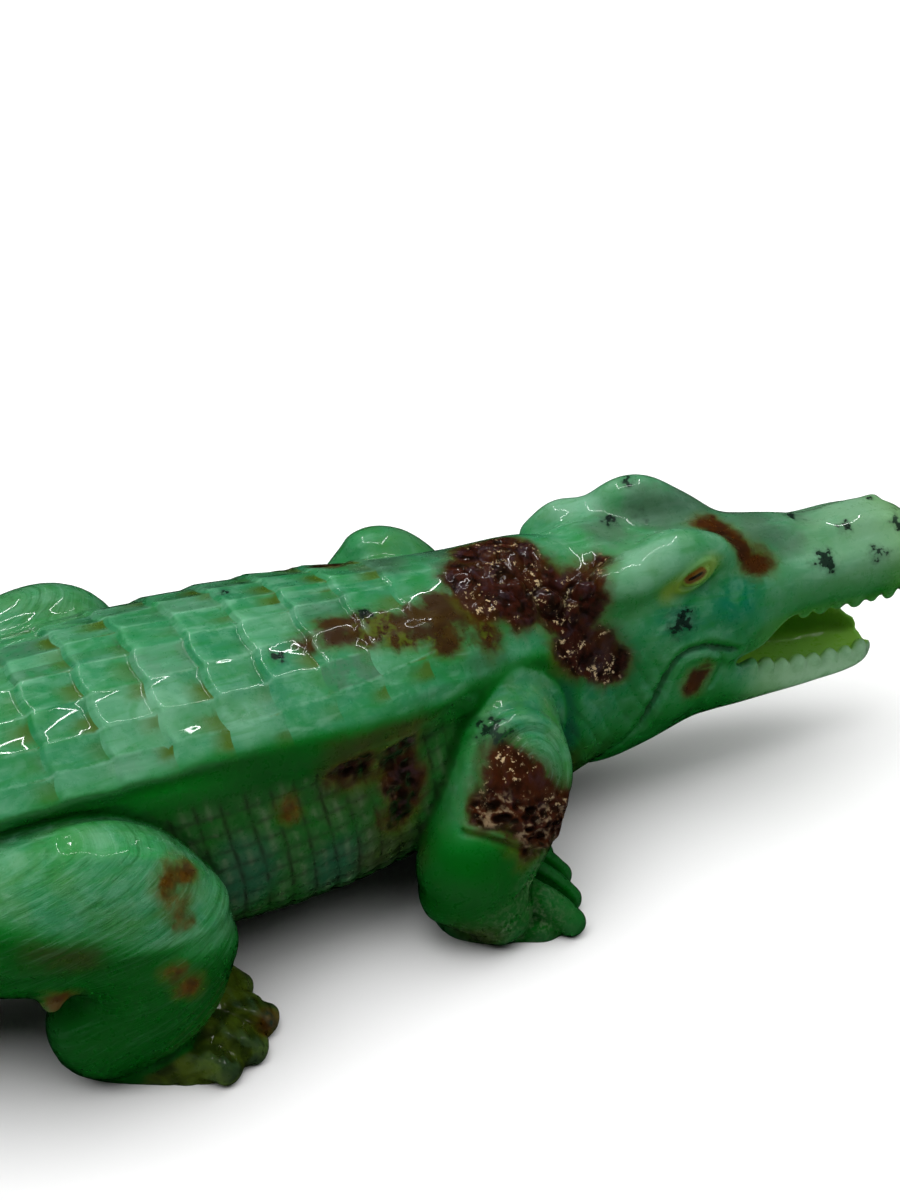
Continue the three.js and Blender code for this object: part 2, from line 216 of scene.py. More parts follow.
def limb(stops, around=40, perStop=10, pinch=1.0):
    # rings along stops [x, y, z, half width across, half height], round at both ends;
    # the width lies as near to the y axis as the limb's run allows, and pinch over 1 gives it ridges
    rows = np.column_stack([np.arange(len(stops)), stops])
    last = len(stops) - 1.0
    at = np.linspace(0, last, int(last * perStop) + 1)
    here = between(rows, at)[:, 1:]
    run = (between(rows, np.minimum(at + 0.05, last)) - between(rows, np.maximum(at - 0.05, 0)))[:, 1:4]
    turn = np.linspace(0, math.pi / 2, 9)[1:-1]
    depth = here[[0, -1], 3:5].min(1)
    cap = len(turn)
    here, run = [np.concatenate([np.repeat(v[:1], cap, 0), v, np.repeat(v[-1:], cap, 0)]) for v in (here, run)]
    out = np.concatenate([-depth[0] * np.sin(turn[::-1]), np.zeros(len(at)), depth[1] * np.sin(turn)])
    size = np.concatenate([np.cos(turn[::-1]), np.ones(len(at)), np.cos(turn)])
    run /= length(run)[:, None]
    across = np.array([0, 1, 0]) - run * run[:, 1:2]
    across /= length(across)[:, None]
    upward = np.cross(run, across)
    angle = np.linspace(0, 2 * math.pi, around, endpoint=False)
    c, s = np.cos(angle), np.sin(angle)
    c, s = np.sign(c) * np.abs(c) ** pinch, np.sign(s) * np.abs(s) ** pinch
    centre = here[:, :3] + run * out[:, None]
    return skin(centre[:, None] + across[:, None] * (here[:, 3] * size)[:, None, None] * c[:, None]
                + upward[:, None] * (here[:, 4] * size)[:, None, None] * s[:, None])


def egg(place, size, turn=0.0, tilt=0.0, detail=(28, 15)):
    # a sphere with three half sizes, tilted about y and then turned about z
    lat = np.linspace(-math.pi / 2, math.pi / 2, detail[1] + 2)[1:-1, None]
    lon = np.linspace(0, 2 * math.pi, detail[0], endpoint=False)
    ball = np.stack([np.cos(lat) * np.cos(lon), np.cos(lat) * np.sin(lon), np.sin(lat) + 0 * lon], -1)
    return skin((ball * size) @ turned(turn, tilt).T + place)


def turned(turn, tilt=0.0):
    # the matrix of a tilt about y followed by a turn about z
    ct, st, cy, sy = math.cos(tilt), math.sin(tilt), math.cos(turn), math.sin(turn)
    return np.array([[cy, -sy, 0], [sy, cy, 0], [0, 0, 1]]) @ np.array([[ct, 0, st], [0, 1, 0], [-st, 0, ct]])


# Trunk, neck and tail

trunk = {
    # along, x, y, top, edge half, edge height, flank half, flank height, bottom
    "rows": [
        (-192, -186, 27, 4.2, 0.8, 3.4, 1.3, 2, 0.4),
        (-181, -177.5, 19.5, 9, 1.4, 7.4, 2.8, 3.6, -0.6),
        (-167, -165.5, 12, 15.4, 2.6, 13, 4.9, 6.2, -0.8),
        (-151, -150.5, 6, 22.4, 5, 19, 7.3, 9.6, -0.6),
        (-136, -136, 2.5, 29, 8, 25, 10, 13.6, 0.8),
        (-120, -120, 0.6, 35.6, 11.6, 31, 13, 17.4, 2.8),
        (-104, -104, 0, 41.2, 15, 35.6, 16.6, 20.4, 6.2),
        (-88, -88, 0, 44.8, 17.6, 38, 19.6, 21.5, 7.6),
        (-72, -72, 0, 46.4, 19.4, 39, 21.1, 21.5, 7.6),
        (-54, -54, 0, 46.6, 20.2, 39, 22.3, 20.5, 6.2),
        (-38, -38, 0, 46.3, 19.2, 39, 21.3, 20, 5.2),
        (-24, -24, 0.3, 45.6, 16, 38.4, 18.6, 20.5, 5),
        (-12, -12, 1, 44.6, 12.4, 37.4, 16.4, 20.5, 4.6),
        (0, 0, 2.2, 43.6, 10.6, 36.2, 15.4, 20.5, 4.8),
        (12, 12, 1.6, 40.5, 9, 34, 12.6, 21.5, 7),
    ],
    "edgeHalf": 20.2,          # half the width of the back at its widest
    "channelDepth": 1.5,       # the groove under the back's edge
    "channelDrop": 4.2,
    "shoulderSwell": 1.5,      # how far the side stands out there instead, towards the front
    "columns": (0.135, 0.4, 0.64, 0.83, 1.0),   # where the plates' columns meet, from the spine to the edge
    "plateLength": 7.4,
    "plateLeast": 5.2,
    "plateLift": 0.86,         # step at a plate's tail end
    "plateRound": 0.6,         # how far that step is rounded
    "plateDish": 0.19,         # how far a plate is hollowed between the ridges of its column
    "plateBow": 0.45,          # how far the middle of a plate's tail end reaches back
    "plateVary": 0.35,
    "platesFrom": -182, "platesTo": -17.2, "platesFade": 12,
    "tailFrom": -104, "tailCrest": 2.2,
    "spacing": 0.25,
}


def plateMarks():
    # where the plates' tail ends lie along the body, from the tail's tip to the neck
    marks, along = [], trunk["platesTo"]
    while along > trunk["platesFrom"]:
        marks.append(along)
        size = min(between(trunk["rows"], along)[0, 4] / trunk["edgeHalf"], 1)
        along -= max(trunk["plateLeast"], trunk["plateLength"] * min(1, 0.6 + size))
    return np.array(marks[::-1])


def plateCells(along, part):
    # which plate a place belongs to: its number along, how far into it, its length, how far across its
    # column from -1 to 1, and the column's code; part is the place across the back from -1 to 1
    marks, borders = plateMarks(), np.array(trunk["columns"])
    size = np.abs(part)
    column = np.minimum(np.searchsorted(borders, size - 1e-9), len(borders) - 1)
    inner, outer = np.where(column > 0, borders[column - 1], -borders[0]), borders[column]
    mid = np.clip((2 * size - inner - outer) / (outer - inner), -1, 1)
    code = column * np.sign(part) + 10
    stagger = 0.5 * (scatter(np.stack([code, code, code], -1), 4) - 0.5)
    a = along - trunk["plateBow"] * mid ** 2 - stagger
    i = np.clip(np.searchsorted(marks, a) - 1, 0, len(marks) - 2)
    size = marks[i + 1] - marks[i]
    return i, (a - marks[i]) / size, size, mid, code


def plateRelief(along, part):
    # each plate falls from its tail end to its head end, where the next one stands over it, and is a
    # little hollow across, so that ridges part the columns
    t = trunk
    along, part = np.broadcast_arrays(along[:, None], part[None, :])
    i, run, size, mid, code = plateCells(along, part)
    luck = scatter(np.stack([i, code, 0 * i], -1), 7)
    tilt = scatter(np.stack([i, code, 1 + 0 * i], -1), 8) - 0.5
    step = smooth(0, t["plateRound"] / size, run)
    rise = np.clip(1 - run, 0, 1) * step
    height = t["plateLift"] * (1 - t["plateVary"] * luck) * (rise - 0.5)
    height -= t["plateDish"] * (1 - mid ** 2) + 0.24 * tilt * mid * (1 - run)
    return height, rise


def trunkRings():
    # a domed back with plates, its edge, the channel under it, and a flank and belly whose corners are
    # rounded like a superellipse
    t = trunk
    along = np.arange(t["rows"][0][0], t["rows"][-1][0] + 0.1, t["spacing"])
    row = between(t["rows"], along)
    x, y, top, edgeY, edgeZ, half, halfZ, bottom = [row[:, k:k + 1] for k in range(1, 9)]
    ahead, behind = between(t["rows"], along + 1), between(t["rows"], along - 1)
    run = np.zeros((len(along), 3))
    run[:, :2] = (ahead - behind)[:, 1:3]
    run /= length(run)[:, None]
    side = np.stack([-run[:, 1], run[:, 0], 0 * along], 1)
    size = np.minimum(edgeY / t["edgeHalf"], 1)
    shown = smooth(0, t["platesFade"], t["platesTo"] - along)[:, None] * np.minimum(1, size * 1.6)
    onTail = smooth(0, 2 * t["platesFade"], t["tailFrom"] - along)[:, None] * np.minimum(1, size * 4)

    part = np.linspace(-1, 1, 201)[None, :]
    relief, rise = plateRelief(along, part[0])
    crest = t["tailCrest"] * onTail * rise ** 1.4 * bell((1 - np.abs(part)) * edgeY, 1.5)
    upZ = edgeZ + (top - edgeZ) * (1 - part ** 2) + relief * shown * (1 - 0.2 * np.abs(part)) + crest
    upper = np.stack([part * edgeY + 0 * upZ, upZ], -1)

    fade = 1 - smooth(-66, -36, along)[:, None]
    degrees = np.array([34, 10, -16, -42, -66, -90.0])
    angle = np.radians(degrees)[None, :]
    reach = np.where(degrees > 0, edgeZ - halfZ, halfZ - bottom)
    square = np.where(degrees > 0, 0.55, 0.75)
    lowY = half * np.clip(np.cos(angle), 0, 1) ** square
    lowZ = halfZ + reach * np.sin(angle)
    lowY[:, -1] = 0
    ctrl = np.stack([
        np.concatenate([edgeY - 0.15 * size,
                        edgeY - t["channelDepth"] * size * fade + t["shoulderSwell"] * (1 - fade), lowY], 1),
        np.concatenate([upZ[:, -1:] - 0.5 * size, edgeZ - t["channelDrop"] * size, lowZ], 1)], -1)
    right = throughPoints(ctrl, 14, False)
    ctrl[:, 0, 1] = upZ[:, 0] - 0.5 * size[:, 0]
    left = throughPoints(ctrl, 14, False)[:, ::-1] * (-1, 1)
    ring = np.concatenate([upper, right, left[:, 1:]], 1)
    place = np.concatenate([x, y, 0 * x], 1)[:, None]
    return place + side[:, None] * ring[..., :1] + np.array([0, 0, 1]) * ring[..., 1:]


# Head, in a frame of its own: s forward, t to its left, z up

head = {
    "turn": math.radians(-10), "place": (0.3, 3.6, 0),
    # s, top, half of the flat top, its side's height, half width, its height, half at lip, lip, palate
    "skull": [
        (2, 40.5, 6, 38, 11.5, 27, 9, 16, 13),
        (8, 42.0, 7, 39, 13.4, 28, 11, 16.5, 14),
        (14, 41.6, 7.5, 38.6, 14.2, 28.4, 12.2, 18, 15),
        (20, 40.8, 7.6, 38.4, 13.4, 29, 12.2, 21, 18),
        (27, 40.4, 6.2, 38, 12.2, 29, 11, 22.4, 21.5),
        (34, 40, 5, 38, 10.6, 29.6, 9.6, 23.4, 24),
        (39, 39.4, 4.6, 37.2, 9.4, 31, 8.6, 26.8, 26.4),
        (46, 38.2, 4.6, 36.4, 8.8, 32, 8, 27.6, 27.4),
        (53, 38.9, 5, 37, 8.8, 32.4, 7.8, 27.6, 28),
        (58, 38.4, 4.8, 36.6, 8.2, 32.4, 7.2, 27.8, 28.4),
        (62, 36.6, 3.6, 35, 6.4, 32, 5.4, 28.2, 28.8),
        (64.6, 33.6, 1.6, 32.8, 2.8, 31.4, 2.2, 29.4, 29.6),
    ],
    # s, half width, rim, bottom, half of the bottom, floor
    "jaw": [
        (4, 10.4, 22, 5.4, 6, 20),
        (10, 12, 24, 6, 7.4, 22),
        (17, 12.6, 25.6, 8.4, 7.8, 22),
        (24, 12.0, 26.2, 10.6, 7, 19),
        (28, 11.2, 24.4, 10.9, 6.6, 17.4),
        (31, 10.4, 20.6, 11, 6.2, 15.8),
        (38, 8.9, 18.5, 11.6, 5.4, 14.8),
        (45, 7.9, 17.9, 12.2, 4.8, 14.6),
        (51, 7, 17.5, 12.7, 4.2, 14.8),
        (54.5, 5.6, 17.2, 13.2, 3.4, 15),
        (57, 3, 16.4, 14, 1.8, 15.4),
    ],
    "jawRoll": 0.17,           # how much higher the jaw's rim stands on the left, from the mouth's corner on
    "eye": (21.8, 9.8, 38.9), "eyeSize": (3.2, 2.4, 2.1), "eyeTilt": -0.42,
    "toothPitch": 2.9, "toothSize": (1.35, 1.15, 1.7),
    "upperTeeth": (42, 62.6), "lowerTeeth": (33.5, 56), "nostril": (59.4, 2.9, 38.2),
}


def headPoint(s, t, z):
    # from the head's frame to the carving's
    return np.stack(np.broadcast_arrays(s, t, z), -1) @ turned(head["turn"]).T + head["place"]


def headFrame(points):
    # and back
    return (points - head["place"]) @ turned(head["turn"])


def skullRings():
    # half a section through eight points at each step along s, from the skull's top round its side to the palate
    s = np.arange(2, 64.61, 0.4)
    r = between(head["skull"], s)
    top, topHalf, topSide, half, halfZ, lipHalf, lip, palate = r[:, 1:].T
    temple = (topSide + halfZ) / 2 + 1
    t = np.stack([0 * s, topHalf * 0.6, topHalf, half * 0.9, half, lipHalf, lipHalf * 0.75, 0 * s], 1)
    z = np.stack([top, top, topSide, temple, halfZ, lip, lip + 0.2, palate], 1)
    return headRings(s, t, z)


def jawRings():
    # half a section through seven points at each step along s, from the mouth's floor over the rim to the
    # underside; then each point rises by the roll times its place to the left, fully at the rim and not below
    s = np.arange(4, 57.01, 0.4)
    r = between(head["jaw"], s)
    half, rim, bottom, bottomHalf, floor = r[:, 1:].T
    t = np.stack([0 * s, half * 0.5, half * 0.78, half * 0.95, half, bottomHalf, 0 * s], 1)
    z = np.stack([floor, floor + 0.2, rim, rim - 0.3, (rim + bottom) / 2, bottom + 0.6, bottom], 1)
    rings = headRings(s, t, z)
    inward = headFrame(rings)
    high = np.clip((inward[..., 2] - bottom[:, None]) / (rim - bottom)[:, None], 0, 1)
    rings[..., 2] += (jawRoll(s)[:, None] * inward[..., 1]) * high
    return rings


def jawRoll(s):
    # how steeply the rim rises to the left, easing in from the mouth's corner on
    return head["jawRoll"] * smooth(29, 44, s)


def headRings(s, t, z):
    # half a section, mirrored and closed by a smooth curve
    t = np.concatenate([t, -t[:, -2:0:-1]], 1)
    z = np.concatenate([z, z[:, -2:0:-1]], 1)
    curve = throughPoints(np.stack([t, z], -1), 12, True)
    return headPoint(s[:, None], curve[..., 0], curve[..., 1])


def teeth(rows, span, halfAt, heightAt, lift):
    # blunt pegs along both sides of a jaw's edge and round its tip
    made = []
    for k, s in enumerate(np.arange(span[0], span[1] + 0.01, head["toothPitch"])):
        r = between(rows, s)[0]
        for side in (-1, 1):
            grow = 0.88 + 0.24 * scatter(np.array([k, side, 3]), 5)
            place = headPoint(s + 0.3 * side, side * halfAt(r), heightAt(r, side) + lift)
            made.append(egg(place, np.array(head["toothSize"]) * grow, head["turn"], 0, (16, 9)))
    return made


def headSides():
    # on each side a limb for the brow, and eggs for the eye, the cheek, the jaw's corner and the nostril's rise
    made = []
    for side in (-1, 1):
        place = lambda s, t, z: headPoint(s, side * t, z)
        stop = lambda s, t, z, a, b: (*place(s, t, z), a, b)
        eye, turn = head["eye"], head["turn"]
        made += [
            limb([stop(5, 10, 37, 2.6, 2.8), stop(9, 9.8, 38.8, 3.6, 3.6), stop(13.5, 8.8, 38.8, 4, 3.8),
                  stop(19.2, 7.2, 40.8 + 0.4 * side, 4.3, 4.6 + 0.4 * side),
                  stop(25.5, 6.2, 39.5 + 0.3 * side, 3.6, 3.6), stop(32, 4.8, 37, 2.4, 2)]),
            egg(place(*eye), head["eyeSize"], turn - side * 0.1, head["eyeTilt"]),
            egg(place(26, 9.4, 29.4), (9, 3.2, 6), turn, 0.12),
            egg(place(17.6, 10.8, 21), (6.4, 2.8, 7), turn, -0.5),
            egg(place(57.6, 3, 36.4), (3, 2.2, 2.6), turn),
        ]
    return made


# Legs

legs = {
    # each leg: side, forward shift, how much higher it stands
    "front": [(-1, 0, 0), (1, -4, 6)],
    "hind": [(-1, 0, 0), (1, 5, 7)],
    "spur": ((-82.2, -27.8, 18.5), (1.8, 1.4, 2.6)),   # a small point behind the right knee: place and size
    # each paw from above: wrist, points of the heel and tips of the toes; then a toe's half sizes, run, length,
    # height at its root and squareness, and the web's reach, edge, top and slope, and its grooves
    "frontPaw": {
        "wrist": (-17.5, 24.5),
        "heel": [(-13, 16.5), (-20, 15.5), (-25.8, 17.5), (-26.0, 22.6), (-22.6, 26.4), (-18.2, 28.4), (-14.2, 30.2)],
        "tips": [(-9.2, 31.2), (-7.2, 26.8), (-5.8, 21.8), (-5.6, 16.4)],
        "toe": (2.2, 2.1), "toeRun": (0.7, 0.71), "toeLength": 10.5, "root": 6.0, "square": 0.85,
        "web": 0.7, "edge": 2.2, "top": 4.8, "rise": 1.0, "groove": (0.62, 1.0, 9.0)},
    "hindPaw": {
        "wrist": (-70, 26),
        "heel": [(-64, 18.5), (-74, 17), (-81, 18.5), (-80.4, 22.5), (-78, 25.6), (-71.5, 29.9), (-66.4, 32.6)],
        "tips": [(-61.6, 34.0), (-57.3, 32.4), (-54.1, 28.5), (-55.0, 21.6)],
        "toe": (2.6, 1.75), "toeRun": (0.72, 0.69), "toeLength": 9, "root": 3.2, "square": 0.5,
        "web": 0.92, "edge": 3.1, "top": 5.8, "rise": 1.2, "groove": (0.45, 0.3, 6.0)},
}


def paw(side, shift, shape):
    # a web seen from above, drawn in towards the wrist while it rises, and a tapering finger on each toe
    centre, tips = np.array(shape["wrist"]), np.array(shape["tips"])
    runs = tips - centre
    outline = []
    for k, run in enumerate(runs):
        outline.append(centre + run * shape["web"])
        if k + 1 < len(runs):
            outline.append(centre + (run + runs[k + 1]) / 2 * (shape["web"] - 0.05))
    ring = throughPoints(np.array(outline + [np.array(point) for point in shape["heel"]]), 10, True)
    edge, top = shape["edge"], shape["top"]
    steps = [(1, -0.2), (1, 0.4), (1, 0.72), (0.985, 0.9), (0.955, 1.0)]
    rings = [np.column_stack([centre + (ring - centre) * part, 0 * ring[:, 0] + edge * up]) for part, up in steps]
    for part in np.linspace(0.88, 0.06, 12):
        rings.append(np.column_stack([centre + (ring - centre) * part,
                                      0 * ring[:, 0] + edge + (top - edge) * (1 - part) ** shape["rise"]]))
    made = [skin(np.array(rings) * (1, side, 1) + (shift, 0, 0))]
    wide, high = shape["toe"]
    toward = np.array(shape["toeRun"])
    for tip in tips:
        row = lambda back, z, grow: (*(tip - toward * back) * (1, side) + (shift, 0), z, wide * grow, high * grow)
        stops = [row(shape["toeLength"], shape["root"], 1.15),
                 row(shape["toeLength"] / 2, (shape["root"] + high) / 2, 1.08), row(min(wide, high), high * 0.84, 1.0)]
        made.append(limb(stops, 28, 9, shape["square"]))
    return made


def legLimbs(name, side, shift, rise):
    # each leg's two limbs, as stops [x, y, z, half width, half height]
    at = lambda x, y, z, a, b: (x + shift, side * y, z, a, b)
    if name == "front":
        return [[at(-11.5 + rise * 0.3, 12.5 + rise * 0.8, 24.6 + rise * 1.4, 7, 9 + rise * 0.3),
                 at(-14, 18, 22 + rise * 1.1, 7.4, 9.6), at(-18.4, 21.5, 16.2 + rise * 0.5, 7.2, 9.2),
                 at(-23, 23.5, 11.2, 7.2, 8.4)],
                [at(-22.5, 23.5, 9.5, 7, 8.2), at(-21.2, 24, 6.8, 6.7, 6.7), at(-20.0, 24.4, 4.2, 6.2, 5)]]
    return [[at(-99 - shift, 10, 25, 9, 8.5), at(-86 - shift / 2, 20, 25.7 + rise * 0.5, 9, 9.4),
             at(-74 + rise * 0.35, 23.5, 25.3 + rise, 8.6, 11.4 - rise * 0.2), at(-67.5, 25.5, 20 + rise * 1.2, 8, 10)],
            [at(-68, 26, 19 + rise, 7.6, 10), at(-70, 25.5, 12 + rise * 0.4, 7.4, 9.2), at(-76, 24, 7.4, 6.6, 7.6)]]


def legSkins(name, side, shift, rise):
    # a leg's two limbs and its paw, and on a hind leg an egg that rounds the knee
    made = [limb(stops, 64, 14) for stops in legLimbs(name, side, shift, rise)]
    if name == "hind":
        made.append(egg((-68.5, side * 24.5, 22 + rise * 0.6), (7, 6, 6)))
    return made + paw(side, shift, legs[name + "Paw"])


# One stone: all skins become a single fine one

stone = {
    "voxel": 0.36,
    "triangles": 190000,
    "hollowGain": 30,
}


def makeMesh(name, points, faces):
    # a smooth mesh from whole arrays, whose faces all have the same count of corners
    mesh = bpy.data.meshes.new(name)
    mesh.vertices.add(len(points))
    mesh.vertices.foreach_set("co", np.asarray(points, np.float32).ravel())
    mesh.loops.add(faces.size)
    mesh.loops.foreach_set("vertex_index", faces.astype(np.int32).ravel())
    mesh.polygons.add(len(faces))
    mesh.polygons.foreach_set("loop_start", np.arange(0, faces.size, faces.shape[1], dtype=np.int32))
    mesh.update(calc_edges=True)
    mesh.validate()
    mesh.polygons.foreach_set("use_smooth", np.ones(len(mesh.polygons), bool))
    return mesh


def addObject(name, mesh):
    # at the origin, unturned
    made = bpy.data.objects.new(name, mesh)
    bpy.context.scene.collection.objects.link(made)
    return made


def bake(piece):
    # the piece's mesh with its modifiers applied
    graph = bpy.context.evaluated_depsgraph_get()
    mesh = bpy.data.meshes.new_from_object(piece.evaluated_get(graph))
    piece.modifiers.clear()
    old, piece.data = piece.data, mesh
    bpy.data.meshes.remove(old)
    return mesh


def read(items, key, each, width, kind=np.int32):
    # a property of all of a mesh's items, with each item's count of numbers, as rows of that width
    out = np.empty(len(items) * each, kind)
    items.foreach_get(key, out)
    return out.reshape(-1, width)


def readPoints(mesh):
    # x, y, z in a row for each point
    return read(mesh.vertices, "co", 3, 3, np.float32).astype(float)


def readEdges(mesh):
    # the two ends of each edge
    return read(mesh.edges, "vertices", 2, 2)


def readFaces(mesh, corners):
    # the corners of each face
    return read(mesh.loops, "vertex_index", 1, corners)


def gather(index, values, count):
    # sum of the values that fall on each index
    return np.stack([np.bincount(index, values[:, k], count) for k in range(values.shape[1])], 1)


def normalsOf(points, faces):
    # area-weighted mean of the normals of the faces round each point
    corners = faces.shape[1]
    a, b, c, d = [points[faces[:, k % corners]] for k in ((0, 2, 1, 3) if corners == 4 else (0, 1, 0, 2))]
    face = np.cross(b - a, d - c)
    total = sum(gather(faces[:, k], face, len(points)) for k in range(corners))
    return total / (length(total)[:, None] + 1e-12)


def neighbourMean(values, edges, count):
    # the sum of the values at the far ends of each point's edges, over how many there are
    a, b = edges.T
    total = gather(a, values[b], count) + gather(b, values[a], count)
    degree = np.bincount(a, minlength=count) + np.bincount(b, minlength=count)
    return total / np.maximum(degree, 1)[:, None]


def relax(points, faces, edges, weight, reach, fill=0.0):
    # moves points towards their neighbours' mean, over about that reach in millimetres;
    # with fill near 1 only hollows rise and ridges stay
    active = weight > 0.01
    near = active[edges].any(1)
    edges = edges[near]
    w = weight[:, None] * 0.6
    times = max(1, round((reach / stone["voxel"]) ** 2))
    for n in range(times):
        if n % 6 == 0:
            normal = normalsOf(points, faces)
        pull = neighbourMean(points, edges, len(points)) - points
        up = (pull * normal).sum(1)[:, None]
        pull -= normal * np.where(up < 0, up * fill, 0)
        points = points + np.where(active[:, None], w * pull, 0)
    return points


print("lofting the skins")
upperEdge = dict(halfAt=lambda r: r[6] * 0.9, heightAt=lambda r, side: r[7] + 0.4)
lowerEdge = dict(halfAt=lambda r: r[1] * 0.84,
                 heightAt=lambda r, side: r[2] - 0.2 + jawRoll(r[0]) * side * r[1] * 0.84)
skins = [
    skin(trunkRings()), skin(skullRings()), skin(jawRings()), *headSides(),
    *teeth(head["skull"], head["upperTeeth"], lift=-0.6, **upperEdge),
    *teeth(head["jaw"], head["lowerTeeth"], lift=0.4, **lowerEdge),
]
for name in ("front", "hind"):
    for leg in legs[name]:
        skins += legSkins(name, *leg)
skins.append(egg(*legs["spur"], 0, 0.3))
starts = np.cumsum([0] + [len(points) for points, faces in skins[:-1]])
allPoints = np.concatenate([points for points, faces in skins])
allFaces = np.concatenate([faces + start for start, (points, faces) in zip(starts, skins)])

print("joining them into one stone,", len(allFaces), "triangles")
carving = addObject("alligatorCarving", makeMesh("alligatorCarving", allPoints, allFaces))
joined = carving.modifiers.new("joined", "REMESH")
joined.mode, joined.voxel_size, joined.adaptivity = "VOXEL", stone["voxel"], 0
joined.use_smooth_shade = True
mesh = bake(carving)
points, faces, edges = readPoints(mesh), readFaces(mesh, 4), readEdges(mesh)
print("one skin of", len(points), "points")


# Where things are on the finished form

def legShare(points, chain):
    # how near each point lies to a leg's middle line, as a part of the leg's radius there
    best = np.full(len(points), 9.0)
    for stops in chain:
        rows = np.column_stack([np.arange(len(stops)), stops])
        line = between(rows, np.linspace(0, len(stops) - 1, 4 * len(stops)))[:, 1:]
        for x, y, z, a, b in line:
            best = np.minimum(best, length(points - (x, y, z)) / ((a + b) / 2))
    return best


def legChains():
    # each leg's limbs and, over its foot, one more
    out = {}
    for name, over in (("front", [(-17, 24.5, 6.4, 7, 6.4), (-9, 24.5, 3, 8.6, 5)]),
                       ("hind", [(-66, 26, 4, 8, 6), (-57, 26.5, 3, 9, 5)])):
        for side, shift, rise in legs[name]:
            foot = [(x + shift, side * y, z, a, b) for x, y, z, a, b in over]
            out[name, side] = legLimbs(name, side, shift, rise) + [foot]
    return out


def alongAt(x):
    # the trunk's own length coordinate at a place along x
    rows = np.array(trunk["rows"])
    return np.interp(x, rows[:, 1], rows[:, 0])


def areas(points):
    # soft masks of the carving's regions, 0 to 1
    x, y, z = points.T
    s, t, h = headFrame(points).T
    out = {}
    share = {key: legShare(points, chain) for key, chain in legChains().items()}
    for key, value in share.items():
        out[key] = 1 - smooth(1.06, 1.2, value)
    legsAll = np.maximum.reduce(list(out.values()))
    rowAt = between(trunk["rows"], alongAt(x))
    edgeZ, bottom = rowAt[:, 5], rowAt[:, 8]
    out["legs"] = legsAll
    out["flank"] = (1 - legsAll) * inside(-178, -160, -26, -20, x) \
        * inside(bottom + 0.5, bottom + 4, edgeZ - 8, edgeZ - 5, z)
    out["back"] = (1 - legsAll) * smooth(edgeZ - 2.2, edgeZ - 0.6, z) * smooth(-12, -20, x)
    out["head"] = smooth(-2, 5, s) * smooth(9, 12, h + 0.6 * s)
    return out


softening = {
    # how far each part is smoothed in millimetres, and how much of the ridges it keeps
    "brows": (4.2, 0.85), "face": (2.7, 0.8), "legs": (1.8, 0.7), "backEdge": (4.0, 0), "all": (0.7, 0),
}


def faceZones(points):
    # the brows, and the cheeks with the snout, 0 to 1, each leaving out the eyes
    s, t, h = headFrame(points).T
    eyes = [length(points - headPoint(*(np.array(head["eye"]) * (1, side, 1)))) for side in (-1, 1)]
    offEyes = smooth(3.4, 4.4, np.minimum(*eyes))
    brows = smooth(31, 34, h) * inside(-1, 3, 34, 42, s) * offEyes
    cheeks = smooth(13, 16, h) * inside(1, 6, 31, 35, s) * (1 - brows) * offEyes
    return brows, np.maximum(cheeks, smooth(31, 33, h) * smooth(30, 36, s))


def legZone(points):
    # the legs above the paws, with the hollow behind the shoulder
    x, y, z = points.T
    return np.maximum(region["legs"], bell(x + 4, 6) * smooth(8, 10, z)) * smooth(7, 10, z) * (1 - region["head"])


def backEdgeZone(points):
    # along the right edge of the back, wider and stronger towards the front
    x, y, z = points.T
    row = between(trunk["rows"], alongAt(x))
    gap = np.hypot(np.abs(y - row[:, 2]) - row[:, 4], z - row[:, 5] + 0.5)
    front = smooth(-70, -34, x)
    zone = bell(gap, 1.4 + 3.4 * front) * (0.2 + 0.8 * front) * smooth(-100, -80, x)
    return zone * np.where(y < 0, 1, 0.12)


print("softening the junctions")
region = areas(points)
brows, face = faceZones(points)
points = relax(points, faces, edges, brows, *softening["brows"])
points = relax(points, faces, edges, face, *softening["face"])
points = relax(points, faces, edges, legZone(points), *softening["legs"])
points = relax(points, faces, edges, backEdgeZone(points), *softening["backEdge"])
points = relax(points, faces, edges, 1 - 0.75 * region["back"], *softening["all"])


# Carved lines and the rough places, cut along the normals

relief = {
    "flankRib": (3.3, 0.46, 0.16),      # spacing along the body, groove width and depth
    "flankCourse": (2.35, 0.4, 0.1),    # and the same down the side
    "shoulderAt": (-13.5, 24.6, 25.5), "leftShoulderRise": 6.5, "shoulderBand": (5.5, 9.2),
    "nubs": [(-1.7, -7.1, 39.0, 2.2, 1.2), (2.8, -7.6, 40.0, 1.7, 0.9), (-6.0, -5.4, 41.5, 1.5, 0.5),
             (-7.4, 0.4, 44.4, 1.6, 0.5)],
    "jawLobe": ([(24.6, -12.6, 27.2), (26.2, -12.0, 25.2), (26.4, -11.8, 22.6), (25.0, -11.9, 20.2)], 0.45, 0.3),
    # lines cut in the right side, and the same on the left unless said: path, width, depth
    "mouthCorner": ([(28.6, -11.4, 25.4), (25.4, -12.4, 27.0), (22.1, -13.0, 28.0), (18.8, -13.5, 27.2),
                     (16.7, -13.4, 24.2), (15.4, -13.1, 20.8), (14.2, -12.3, 17.2), (12.3, -11.1, 13.2),
                     (9.8, -10.2, 10.2)], 0.32, 0.6),
    "elbowFold": ([(-24.9, 25.0, 20.6), (-22.1, 27.0, 19.8), (-19.9, 27.9, 18.6), (-16.3, 28.2, 16.6),
                   (-14.2, 27.5, 15.4)], 0.4, 0.42),
    "wristRidge": ([(-14.4, 27.6, 15.6), (-15.6, 28.6, 13.6), (-17.4, 29.6, 12.0), (-19.5, 30.3, 10.9)], 0.5, 0.35),
}


